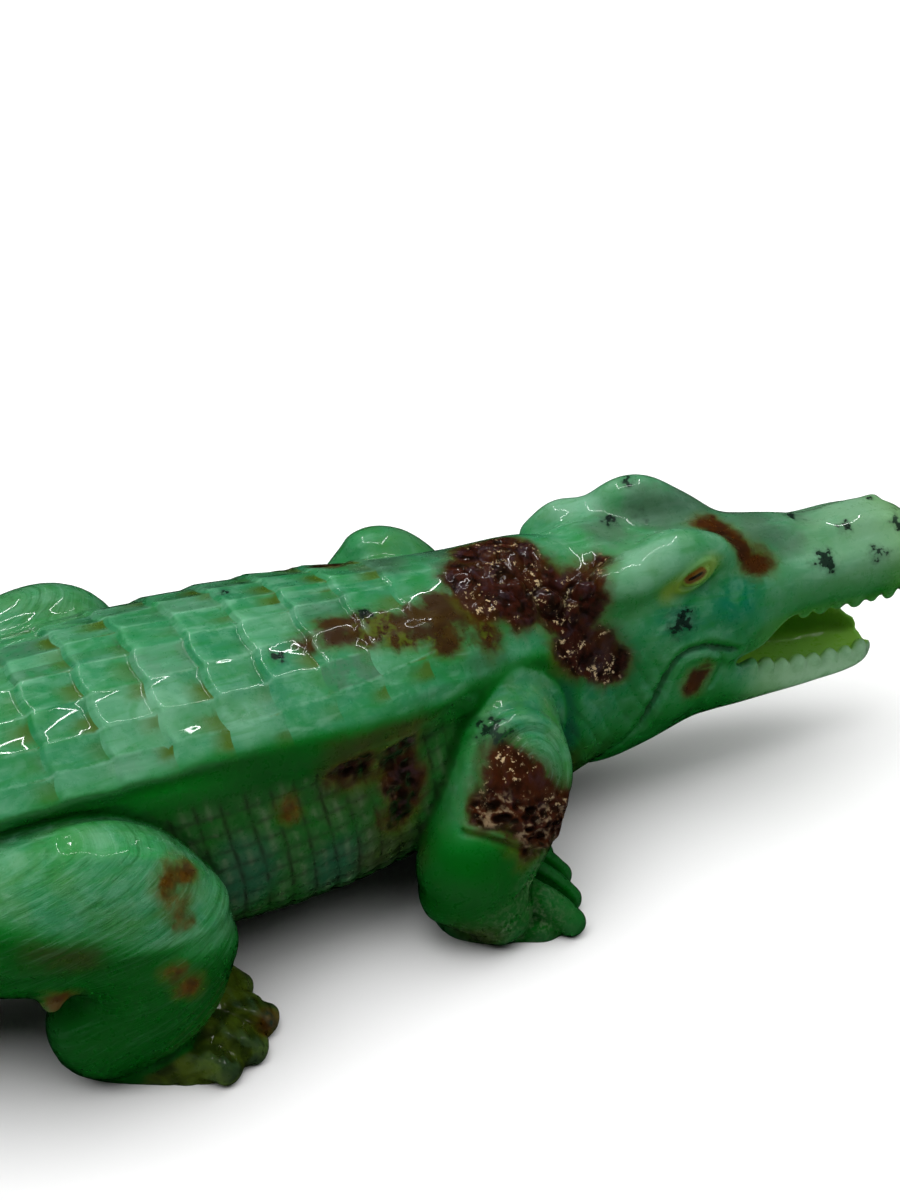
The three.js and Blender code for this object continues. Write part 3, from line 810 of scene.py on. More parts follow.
patches = {
    # where the host rock stands: x, y, z, radius
    "neck": [(-8.5, 1.2, 44.4, 3.4), (-4.4, 1.6, 44.0, 3.2), (-8.4, -3.4, 43.0, 4.4), (-4.2, -3.6, 42.0, 4.2),
             (-0.5, -5.8, 39.8, 4.4), (4.0, -6.2, 39.4, 3.4), (7.4, -4.6, 40.4, 1.8), (0.8, -8.2, 35.8, 4.4),
             (-0.8, -9.4, 32.6, 3.0), (3.0, -10.4, 31.0, 3.6), (5.8, -11.4, 28.4, 2.8), (-7.4, -7.7, 40.2, 4.0),
             (-12.2, -6.4, 42.0, 3.4), (-13.8, -3.4, 43.8, 2.4)],
    "band": [(-15.0, -8.0, 41.8, 3.0), (-18.8, -7.4, 43.0, 3.4), (-22.6, -9.2, 42.8, 3.0), (-26.8, -9.6, 43.2, 3.0),
             (-31.4, -9.2, 44.2, 2.6), (-35.4, -8.8, 44.4, 2.3), (-39.6, -9.2, 44.8, 1.8), (-20.6, -11.8, 41.0, 2.4),
             (-13.5, -11.0, 39.2, 2.6), (-28.0, 8.8, 44.2, 2.2), (-33.0, 14.5, 41.8, 2.2), (-22.0, 10.0, 43.0, 1.8)],
    "arm": [(-17.4, -25.4, 23.8, 4.6), (-14.2, -27.2, 20.0, 4.4), (-10.2, -25.2, 17.6, 3.6), (-17.4, -22.8, 27.0, 2.6),
            (-21.4, -25.8, 22.4, 2.6), (-18.0, -28.4, 19.6, 1.8), (-17.8, -28.8, 16.4, 0.7)],
    "flank": [(-39.4, -19.0, 31.7, 1.8), (-31.2, -19.4, 26.6, 3.0), (-31.6, -20.0, 22.6, 2.6),
              (-33.0, -19.6, 29.8, 2.4), (-36.5, -19.0, 31.2, 1.8), (-30.0, -18.6, 31.0, 2.0)],
}


def roughPatches(points):
    # the host rock: the neck's mass with a band down the spine, the right upper arm and a patch on the flank;
    # above a half is in
    wander = 0.28 * noise(points, 5.0, 40, 3) + 0.1 * noise(points, 1.7, 46, 2)
    return [ragged(spots(points, patches[name], 6, 0.1), share * wander)
            for name, share in (("neck", 1), ("band", 1.1), ("arm", 0.7), ("flank", 1.1))]


def lowerArm(points):
    # the pitted lower half of the right upper arm
    x, y, z = points.T
    return smooth(24.5, 21.5, z + 0.5 * (x + 17))


def flankGrid(points):
    # the flank's ribs and courses, each counted in whole numbers
    x, y, z = points.T
    bend = 0.35 * noise(points, 7, 21)
    return (x + bend + 0.12 * z) / relief["flankRib"][0], \
        (z + 0.6 * bend - 0.0024 * (x + 55) ** 2) / relief["flankCourse"][0]


def shoulder(side):
    # where the rings on a shoulder have their middle
    x, y, z = relief["shoulderAt"]
    return np.array([x, side * y, z + (relief["leftShoulderRise"] if side > 0 else 0)])


def carve(points, normal, region):
    # the points, moved along their normals by all lines, lumps and pits
    x, y, z = points.T
    inHead = headFrame(points)
    s, t, h = inHead.T
    d = np.zeros(len(points))

    for count, (pitch, width, depth) in zip(flankGrid(points), (relief["flankRib"], relief["flankCourse"])):
        d -= depth * region["flank"] * bell((count - np.round(count)) * pitch, width)
    d += 0.1 * region["flank"] * noise(points, 2.6, 5)
    # long soft streaks where the back's edge runs out behind the shoulder
    streaks = (1 - region["legs"]) * inside(-46, -36, -8, -2, x) * inside(24, 28, 40, 42, z)
    d += 0.3 * streaks * noise(points * (0.22, 1, 1), 1.9, 24, 2)

    low, high = relief["shoulderBand"]
    for side in (-1, 1):
        on = region["front", side]
        gap = length(points - shoulder(side))
        d += on * (0.35 * bell(gap - (low + high) / 2, 1.5) - 0.35 * bell(gap - low, 0.5)
                   - 0.3 * bell(gap - high, 0.5))
        for radius in (1.5, 2.8, 4.1):
            d -= 0.07 * on * bell(gap - radius - 0.2 * noise(points, 3, 9), 0.3)

    headLine, width, depth = relief["mouthCorner"]
    for side in (1, -1):
        q = inHead * (1, side, 1)
        gap = fromPath(q, headLine, True)
        d -= depth * bell(gap, width) * (0.4 + 0.6 * smooth(13, 20, h))
        d += 0.25 * bell(gap - 1.5, 0.8) * smooth(13, 15, h)
        lobe, lobeWidth, lobeDepth = relief["jawLobe"]
        d -= lobeDepth * bell(fromPath(q, lobe, True), lobeWidth)
    for name in ("elbowFold", "wristRidge"):
        for side in (-1, 1):
            path, width, depth = relief[name]
            path = np.array(path) * (1, side, 1)
            d += depth * 0.7 * bell(fromPath(points, path, True), width)
            d -= depth * bell(fromPath(points, path - (0, 0, 1.1), True), width)

    # grooves between the toes, and the crease over the thigh
    for name in ("front", "hind"):
        shape = legs[name + "Paw"]
        width, depth, reach = shape["groove"]
        toward = np.array(shape["toeRun"])
        for side, shift, rise in legs[name]:
            for a, b in zip(shape["tips"][:-1], shape["tips"][1:]):
                start = (np.array(a) + b) / 2
                line = [[*(place * (1, side) + (shift, 0)), 0] for place in (start, start - toward * reach)]
                d -= depth * bell(fromPath(points * (1, 1, 0), line), width) * inside(0.1, 1.2, 7, 10, z)
    for side in (-1, 1):
        thigh = region["hind", side] * smooth(-96, -86, x) * smooth(20, 26, z)
        d += smooth(20, 26, z) * smooth(-96, -86, x) * (0.2 * bell(thigh - 0.85, 0.15) - 0.4 * bell(thigh - 0.35, 0.25))

    # the eyes: a slit, the ball's border and a raised lid round it
    ball = turned(0, head["eyeTilt"])
    for side in (-1, 1):
        q = (inHead - np.array(head["eye"]) * (1, side, 1)) @ ball
        long, high = q[:, 0] / 2.5, q[:, 2] / 1.4
        out = smooth(-1, 0.6, q[:, 1] * side) * (length(q) < 6)
        r = np.hypot(long, high)
        d += out * (0.28 * bell(r - 1.3, 0.2) - 0.22 * bell(r - 1.0, 0.16))
        d -= out * 0.4 * bell(np.maximum(np.abs(q[:, 0]) - 1.0, 0), 0.5) * bell(q[:, 2] - 0.1, 0.45)

    # nostrils at the top of the snout's tip
    for side in (-1, 1):
        q = inHead - np.array(head["nostril"]) * (1, side, 1)
        d -= 0.8 * bell(length(q * (1, 1.3, 0.6)), 1.0)

    # folds from the jaw to the shoulder, and bands across the throat
    neckSide = inside(-12, -7, 12, 17, x) * smooth(33, 25, z) * smooth(9, 12, np.abs(y)) \
        * (1 - np.maximum(region["front", -1], region["front", 1]))
    fold = (0.9 * x + 0.55 * z + 1.1 * noise(points, 6, 31)) / 2.6
    d -= 0.16 * neckSide * bell((fold - np.round(fold)) * 2.6, 0.45)
    d += 0.1 * neckSide * noise(points, 2.2, 33)

    # folds at the rear of the shanks, which follow the limb
    lean = 0.62
    for side, centre in ((-1, -70), (1, -65)):
        on = region["hind", side] * smooth(19, 12, z) * smooth(-74, -66, x)
        fold = (z * math.cos(lean) - (x - centre) * math.sin(lean) + 0.3 * noise(points, 5, 12)) / 1.7
        d -= 0.2 * on * bell((fold - np.round(fold)) * 1.7, 0.36)

    # the host rock: lumps, cracks and pits
    neck, band, arm, flank = roughPatches(points)
    rough = smooth(0.45, 0.62, neck)
    first, gap = grains(points + 0.8 * noise(points, 2.4, 3)[:, None], 3.0, 50)
    d += rough * (0.42 * noise(points, 2.1, 41, 3) + 0.22 * smooth(0, 0.3, gap) - 0.2)
    rough = smooth(0.45, 0.6, band)
    d += rough * 0.22 * noise(points * (0.5, 1, 1), 1.6, 43, 2)
    rough = smooth(0.45, 0.58, arm)
    low = lowerArm(points)
    moved = points + 0.3 * noise(points, 1.5, 44)[:, None]
    first, gap = grains(moved @ turned(0, 0.6) * (0.8, 1.0, 1.3), 1.5, 51)
    d += rough * (0.2 * noise(points, 1.6, 45) - low * 0.8 * (1 - smooth(0.15, 0.6, first)) + 0.25 * low)
    rough = smooth(0.45, 0.6, flank)
    d -= rough * (0.1 + 0.4 * (1 - smooth(0.15, 0.6, grains(points, 1.6, 52)[0])))
    for cx, cy, cz, radius, height in relief["nubs"]:
        gap = length(points - (cx, cy, cz)) / radius
        d += height * (1 - smooth(0.35, 1.0, gap)) - 0.35 * bell(gap - 1.08, 0.18)

    # a hand's touch everywhere
    d += 0.05 * noise(points, 6, 60) * (1 - region["back"])
    return points + normal * d[:, None]


print("carving the lines and the rough rock")
points = carve(points, normalsOf(points, faces), region)
points[:, 2] = np.maximum(points[:, 2], 0)

# the two shapes share the frame's box: its tail end fixes how far forward the stone stands
forward = cadBox[0].x / metre - points[:, 0].min()
print("shift forward", round(forward, 2))


def toFrame(points):
    # from the carving's millimetres to the frame's metres
    return (points + (forward, 0, 0)) * metre


def hollowness(points, normal, edges, times=14):
    # how much a point lies under its neighbours' mean, smoothed, as a part of a millimetre
    height = ((neighbourMean(points, edges, len(points)) - points) * normal).sum(1)[:, None]
    for n in range(times):
        height = 0.4 * height + 0.6 * neighbourMean(height, edges, len(points))
    return height[:, 0] * (0.36 / stone["voxel"]) ** 2


def addMark(mesh, name, values):
    # one value at each point, which the material reads by name
    layer = mesh.attributes.new(name, "FLOAT", "POINT")
    layer.data.foreach_set("value", np.asarray(values, np.float32))


print("thinning to", stone["triangles"], "triangles, with the fine skin's normals kept")
dense = addObject("denseSkin", makeMesh("denseSkin", toFrame(points), faces))
hollow = hollowness(points, normalsOf(points, faces), edges) * stone["hollowGain"]
addMark(dense.data, "hollow", np.clip(0.5 + hollow, 0, 1))
old, carving.data = carving.data, dense.data.copy()
bpy.data.meshes.remove(old)
thin = carving.modifiers.new("thin", "DECIMATE")
thin.ratio = stone["triangles"] / (2 * len(faces))
thin.use_collapse_triangulate = True
shade = carving.modifiers.new("shade", "DATA_TRANSFER")
shade.object = dense
shade.use_loop_data = True
shade.data_types_loops = {"CUSTOM_NORMAL"}
shade.loop_mapping = "POLYINTERP_NEAREST"
mesh = bake(carving)
mesh.name = "alligatorCarving"
bpy.data.objects.remove(dense)
print("finished skin:", len(mesh.polygons), "triangles")


# Marks of the stone, kept on the skin for its material

colours = {
    # where each colour lies: x, y, z, radius
    "amber": [(-63.6, -27.6, 31.6, 1.3), (-65.4, -28.8, 31.0, 1.6), (-67.6, -29.8, 30.6, 1.4),
              (-66.6, -30.6, 29.0, 1.6), (-66.4, -31.6, 26.8, 0.9), (-67.3, -33.4, 18.0, 1.4),
              (-68.5, -33.3, 20.7, 0.9), (-47.8, -20.4, 29.2, 1.2), (-82.0, -28.4, 18.2, 1.9),
              (-55.6, -29.4, 3.0, 1.6)],
    # in the head's frame: a stain along a line on the snout, a round one on the jaw, and the valley between the brows
    "snoutStain": [(28.2, -0.4, 40.4), (29.6, -4.6, 40.4), (31.4, -7.2, 39.4), (33.6, -8.0, 37.8)],
    "snoutStainRadius": 2.5,
    "jawStain": (22.4, -12.6, 21.6), "jawStainRadius": 2.4,
    "valley": [(7, 1, 42), (13, 1, 41.6), (19, 1, 41), (25, 1, 40.6)], "valleyRadius": 2.8,
    "eyeRim": [(17.6, -11.9, 37.4), (20.2, -11.7, 38.4), (22.6, -11.5, 39.5), (24.9, -11.0, 40.1)],
    # milky pale stone; on the brows, the top of the right thigh and the right side of the back it is partly a painted
    # sheen
    "milk": [(10.5, -10.3, 41.3, 4.0), (6.7, -10.8, 39.3, 3.0), (15.5, -10.5, 43.5, 4.0), (14, 11, 43, 5),
             (-74, -24, 38, 3), (-61.4, -13, 44, 4), (-52, -16, 42, 3.4)],
    "teal": [(26.5, -13, 32.2, 4.4), (17.0, -12.4, 32.7, 3.6), (-50, -14.5, 42.5, 2.6), (6, -12, 26, 7),
             (-12, -17.5, 31, 4), (26.5, 8, 32, 5), (-2, -14, 24, 7), (-55, -20, 22, 5), (-42, -20, 18, 5)],
    "smoke": [(27, 2, 40, 6), (20, 3, 40, 5), (13, 2, 42, 4), (36, -5, 39, 5), (36, 1, 40, 5), (44, 0, 39, 3),
              (-14, -15.5, 38, 4), (-12, 3, 45, 4), (-34, -4, 46, 3), (-13.5, -27.4, 25.5, 4.5), (-22, 4, 44, 4)],
    "moss": [(-38, -20, 32, 6), (-34, -20, 17, 5), (-30, -20, 34, 5), (2.6, -13.6, 12, 6), (-24, -27, 4, 4.4),
             (-80, -30, 28, 5)],
    "scuff": [(-16.4, -28.6, 9.5, 2.6), (-20.5, -29, 5.4, 3.4), (-14.6, -27.6, 12.0, 1.8), (-24.5, -27, 3.4, 3.0),
              (-16, -29.4, 4.0, 3.0)],
}


def stainMarks(points):
    # rust-coloured stains, with wandering edges
    wander = 0.3 * noise(points, 3.0, 90, 3)
    jawStain = (*headPoint(*colours["jawStain"]), colours["jawStainRadius"])
    snout = fromPath(points, headPoint(*np.array(colours["snoutStain"]).T))
    stains = [spots(points, colours["amber"], 6, 0.08), spots(points, [jawStain]),
              np.clip(0.5 + (colours["snoutStainRadius"] - snout) / 6, 0, 1)]
    return np.clip(np.maximum.reduce([ragged(stain, wander) for stain in stains]), 0, 1)


def strokeMarks(points, region):
    # the wheel's strokes run along the legs, and in rings round the shoulders: how far across and along them,
    # and where they are
    x, y, z = points.T
    hind = x < -45
    lean = np.where(hind, np.interp(z, [8, 28], [0.62, 0.3]), 0.5)
    fromX = x + np.where(hind, 70, 20)
    acrossLeg, alongLeg = z * np.cos(lean) - fromX * np.sin(lean), z * np.sin(lean) + fromX * np.cos(lean)
    gaps = [points - shoulder(side) for side in (-1, 1)]
    gap = np.where((length(gaps[0]) < length(gaps[1]))[:, None], *gaps)
    ring, swing = length(gap), 5 * np.arctan2(gap[:, 2], gap[:, 0])
    onRing = (ring < 7.5) & ~hind
    onHind = np.maximum(region["hind", -1], region["hind", 1]) * smooth(4, 8, z)
    onFront = np.maximum(region["front", -1], region["front", 1]) \
        * np.maximum(smooth(7.4, 6.5, ring), 0.6 * inside(2, 4, 9, 15, z))
    return {"strokeAcross": np.where(onRing, ring, acrossLeg), "strokeAlong": np.where(onRing, swing, alongLeg),
            "strokes": np.where(hind, onHind, onFront)}


def stoneMarks(points, normal):
    # every mark that the material reads, by name
    x, y, z = points.T
    inHead = headFrame(points)
    s, t, h = inHead.T
    region = areas(points)
    neck, band, arm, flank = roughPatches(points)
    out = {name: spots(points, colours[name], 8, 0.1) for name in ("milk", "teal", "smoke", "moss")}
    out["rock"] = np.clip(np.maximum.reduce([neck, arm, flank]), 0, 1)
    out["band"] = np.clip(band, 0, 1)
    out["pits"] = np.maximum(smooth(0.4, 0.6, arm) * lowerArm(points), smooth(0.4, 0.6, flank))
    out["rust"], out["stain"] = smooth(0.4, 0.6, arm), stainMarks(points)
    out["headward"], out["limbs"], out["flank"] = region["head"], region["legs"], region["flank"]

    # deep green where light doesn't reach: under the back's edge, low on the legs, and facing down
    rowAt = between(trunk["rows"], alongAt(x))
    edgeZ = rowAt[:, 5]
    lit = smooth(-0.55, 0.75, normal[:, 2])
    drop = z - edgeZ + 1.6 * noise(points * (0.6, 1, 1), 5, 23, 2) + 2.6 * smooth(-50, -28, x)
    under = smooth(2.0, -3.6, drop) * (1 - region["head"]) * (1 - region["legs"])
    hindLine = np.clip(22.5 - 0.45 * (x + 72), 14, 30)
    low = np.where(x < -45, smooth(hindLine + 5, hindLine - 3, z), smooth(24, 14, z))
    out["deep"] = np.clip(under * 0.95 + region["legs"] * low * 0.95 + 0.55 * (1 - lit), 0, 1)
    # a painted glow: bright green in a band just under the back's edge along the middle of the body
    out["glow"] = bell(z - edgeZ + 3.6, 2.0) * smooth(-50, -66, x) * smooth(-112, -90, x) * (1 - region["legs"])
    shank = np.minimum(*[legShare(points, legLimbs("hind", *leg)[1:]) for leg in legs["hind"]])
    out["olive"] = smooth(1.0, 1.22, shank) * inside(-76, -70, -50, -48, x) * smooth(8.5, 5.5, z)

    # the head: its mist, the lime inside the mouth, partly a painted glow over the mouth's shade, the jaw's pale rim on
    # its right side, partly a painted highlight, and the eyes
    jawRow = between(head["jaw"], np.clip(s, 4, 57))
    within = 1 - smooth(0.7, 0.95, np.abs(t) / np.maximum(jawRow[:, 1], 1))
    rim = smooth(28, 46, s) * inside(11, 13, 19.5, 21, h) * (1 - within) * smooth(1, -1, t)
    cheek = smooth(36, 33, h) * smooth(34, 28, s)
    out["rim"] = rim
    out["mist"] = np.clip(region["head"] * (0.35 + 0.55 * smooth(34, 58, s)) * (1 - 0.7 * cheek) + 0.8 * rim, 0, 1)
    out["lime"] = np.maximum(smooth(30, 36, s) * inside(13, 15, 27.6, 29.0, h) * np.maximum(within, 0.12),
                             smooth(52, 62, s) * smooth(26, 30, h) * 0.3)
    out["eyeRim"], out["slit"] = 0 * x, 0 * x
    for side in (-1, 1):
        rimGap = fromPath(inHead * (1, -side, 1), colours["eyeRim"])
        out["eyeRim"] = np.maximum(out["eyeRim"], smooth(3.0, 0.3, rimGap))
        q = (inHead - np.array(head["eye"]) * (1, side, 1)) @ turned(0, head["eyeTilt"])
        slit = bell(np.maximum(np.abs(q[:, 0] + 0.2) - 0.8, 0), 0.9) * bell(q[:, 2] - 0.5, 0.75)
        out["slit"] = np.maximum(out["slit"], slit * smooth(-1, 0.6, q[:, 1] * side) * (length(q) < 5))

    # the plates, the flank's grid and the tool strokes, each as coordinates the material draws lines on
    part = np.clip((y - rowAt[:, 2]) / np.maximum(rowAt[:, 4], 1), -1, 1)
    i, run, size, mid, code = plateCells(alongAt(x), part)
    out["plateAlong"], out["plateAcross"], out["plateMid"] = i + run, part, mid * np.sign(part)
    out["plates"] = region["back"] * smooth(0, 0.06, 1 - np.abs(part)) * smooth(-18, -26, x)
    out["ribs"], out["courses"] = flankGrid(points)
    out.update(strokeMarks(points, region))
    out["scuff"] = spots(points, colours["scuff"], 6, 0.1)
    valley = headPoint(*np.array(colours["valley"]).T)
    out["waxy"] = spots(points, [(*place, colours["valleyRadius"]) for place in valley], 4, 0.1)
    return out


print("marking the stone's colours")
points = readPoints(mesh) / metre - (forward, 0, 0)
for name, values in stoneMarks(points, normalsOf(points, readFaces(mesh, 3))).items():
    addMark(mesh, name, values)


# The stone's material

stoneLook = {
    "tones": {
        "mint": "#307b50", "milk": "#6ba081", "teal": "#056446", "leaf": "#0d6e22", "deep": "#014f0b",
        "sea": "#014a2b", "glow": "#06901f", "mist": "#7d9f80", "haze": "#657559", "sap": "#4b7836",
        "khaki": "#465410", "pale": "#8fb592", "maroon": "#30120b", "smoke": "#3d4a40", "moss": "#2b370d",
        "lime": "#74a828", "eyeRim": "#6f861d", "olive": "#1d2104", "straw": "#48500f", "residue": "#405a16",
        "amber": "#391e05", "orange": "#563908", "brown": "#31130a", "bark": "#110703", "wine": "#34242a",
        "rust": "#3a1805", "chalk": "#b9a37c", "ink": "#081210"},
    "specks": [                # x, y, z, radius
        (42.7, -11.6, 35.4, 1.5), (42.7, -2.8, 38.6, 1.1), (48.4, -8.4, 38.0, 0.9), (51.1, -13.4, 35.3, 1.1),
        (56.2, -4.1, 38.8, 0.8), (56.2, -10.8, 38.0, 1.0), (17.0, -12.4, 32.7, 1.7), (14.6, 4.0, 41.5, 1.2),
        (18.9, 3.8, 41.2, 1.2), (-43.6, -9.6, 44.7, 0.9), (-44.7, 6.0, 45.9, 0.8), (-40.9, 9.3, 44.1, 0.6),
        (-30.0, -6.3, 44.9, 0.9), (-17.9, -19.2, 30.0, 1.9), (-37.7, -17.1, 10.3, 0.6), (-58.3, 24.7, 37.9, 0.5),
        (19.5, 7.3, 45.9, 0.9), (33.2, 1.3, 39.1, 0.9), (-68.9, 23.3, 42.7, 0.5), (-55.0, -29.2, 3.4, 1.1)],
    "speckDrift": 0.0024,      # how far the specks' outlines wander, in metres
    "broadCloud": (55, 4, 0.55, 0.6),       # noises: cycles in a metre, octaves, roughness, warp
    "middleCloud": (160, 4, 0.6, 0.5),
    "smallCloud": (420, 4, 0.65, 0.3),
    "fineCloud": (900, 3, 0.6),
    "wispTurn": (0.0, 0.35, 0.2), "wispStretch": (0.22, 1.0, 1.0), "wispCloud": (560, 3, 0.55, 0.6),
    "pitTurn": (0.3, 0.6, 0.2), "pitStretch": (0.8, 1.0, 1.3), "pitsPerMetre": 640.0,
    "strokePitch": (1.9, 0.14),             # the wheel's strokes: cycles in a millimetre across and along
    "strokeDark": 0.5, "strokePale": 0.24,
    "ribsDark": 0.62, "coursesDark": 0.38,
    "residueFrom": 0.12, "residueTo": 0.96,  # where along a plate the residue begins and is thickest
    # strength of the painted shade in hollows and of the painted highlight on crests
    "hollowDark": 0.5, "crestPale": 0.28,
    "roughness": (0.26, 0.34), "rockRoughness": 0.12,
    "bumpStrength": 0.5, "bumpDepth": 0.00025,
    "body": {"Subsurface Weight": 0.22, "Subsurface Scale": 0.002, "Subsurface Radius": (0.9, 1.0, 0.85),
             "IOR": 1.45, "Specular IOR Level": 0.3, "Coat IOR": 1.55, "Coat Roughness": 0.035},
}


def tone(code):
    # a colour written as in a paint program, as linear light
    v = np.array([int(code[k:k + 2], 16) / 255 for k in (1, 3, 5)])
    return (*np.where(v <= 0.04045, v / 12.92, ((v + 0.055) / 1.055) ** 2.4), 1.0)


def addNode(tree, kind, inputs=None, **settings):
    # each input is linked where it's given a socket, and otherwise set
    made = tree.nodes.new(kind)
    for name, value in settings.items():
        setattr(made, name, value)
    for name, value in (inputs or {}).items():
        if isinstance(value, bpy.types.NodeSocket):
            tree.links.new(value, made.inputs[name])
        else:
            made.inputs[name].default_value = value
    return made


def toolsFor(tree):
    # short ways to add the usual nodes to one tree
    node = partial(addNode, tree)

    def calc(operation, a, b=0.0, clamp=False):
        return node("ShaderNodeMath", {0: a, 1: b}, operation=operation, use_clamp=clamp).outputs[0]

    def ramp(value, low, high, start=0.0, end=1.0):
        # from start to end in an S-shaped curve, while the value goes from low to high
        return node("ShaderNodeMapRange", {"Value": value, 1: low, 2: high, 3: start, 4: end},
                    interpolation_type="SMOOTHSTEP").outputs[0]

    def cloud(place, scale, detail=3.0, rough=0.55, warp=0.0, output="Fac"):
        return node("ShaderNodeTexNoise", {"Vector": place, "Scale": scale, "Detail": detail, "Roughness": rough,
                                           "Distortion": warp}).outputs[output]

    def vector(operation, a, b):
        return node("ShaderNodeVectorMath", {0: a, "Scale" if operation == "SCALE" else 1: b}, operation=operation)

    return node, calc, ramp, cloud, vector


def newGroup(name, inputs):
    # a node group with named sockets that puts out a mask; inputs are (name, kind, value)
    group = bpy.data.node_groups.new(name, "ShaderNodeTree")
    for label, kind, value in inputs:
        socket = group.interface.new_socket(label, in_out="INPUT", socket_type="NodeSocket" + kind)
        if value is not None:
            socket.default_value = value
    group.interface.new_socket("Mask", in_out="OUTPUT", socket_type="NodeSocketFloat")
    return group, group.nodes.new("NodeGroupInput").outputs, group.nodes.new("NodeGroupOutput").inputs["Mask"]


def raggedGroup():
    # a soft mask given an uneven edge: the mask plus some noise, cut at a half
    group, given, mask = newGroup("raggedEdge", [
        ("Place", "Vector", None), ("Mask", "Float", 0.0), ("Scale", "Float", 400.0), ("Raggedness", "Float", 0.5),
        ("Softness", "Float", 0.1)])
    node, calc, ramp, cloud, vector = toolsFor(group)
    wave = calc("SUBTRACT", cloud(given["Place"], given["Scale"], 4.0, 0.6, 0.4), 0.5)
    shifted = calc("ADD", given["Mask"], calc("MULTIPLY", wave, given["Raggedness"]))
    low, high = calc("SUBTRACT", 0.5, given["Softness"]), calc("ADD", 0.5, given["Softness"])
    group.links.new(ramp(shifted, low, high), mask)
    return group


def speckGroup():
    # a dark inclusion: a ragged core near a point, in a soft halo
    group, given, mask = newGroup("inclusion", [
        ("Place", "Vector", None), ("Centre", "Vector", None), ("Radius", "Float", 0.001), ("Wave", "Float", 0.5)])
    node, calc, ramp, cloud, vector = toolsFor(group)
    gap = vector("DISTANCE", given["Place"], given["Centre"]).outputs["Value"]
    uneven = calc("MULTIPLY", calc("SUBTRACT", given["Wave"], 0.5), 3.2)
    part = calc("ADD", calc("DIVIDE", gap, given["Radius"]), uneven)
    group.links.new(calc("MAXIMUM", ramp(part, 1.05, 0.7), ramp(part, 1.9, 0.5, 0.0, 0.5)), mask)
    return group


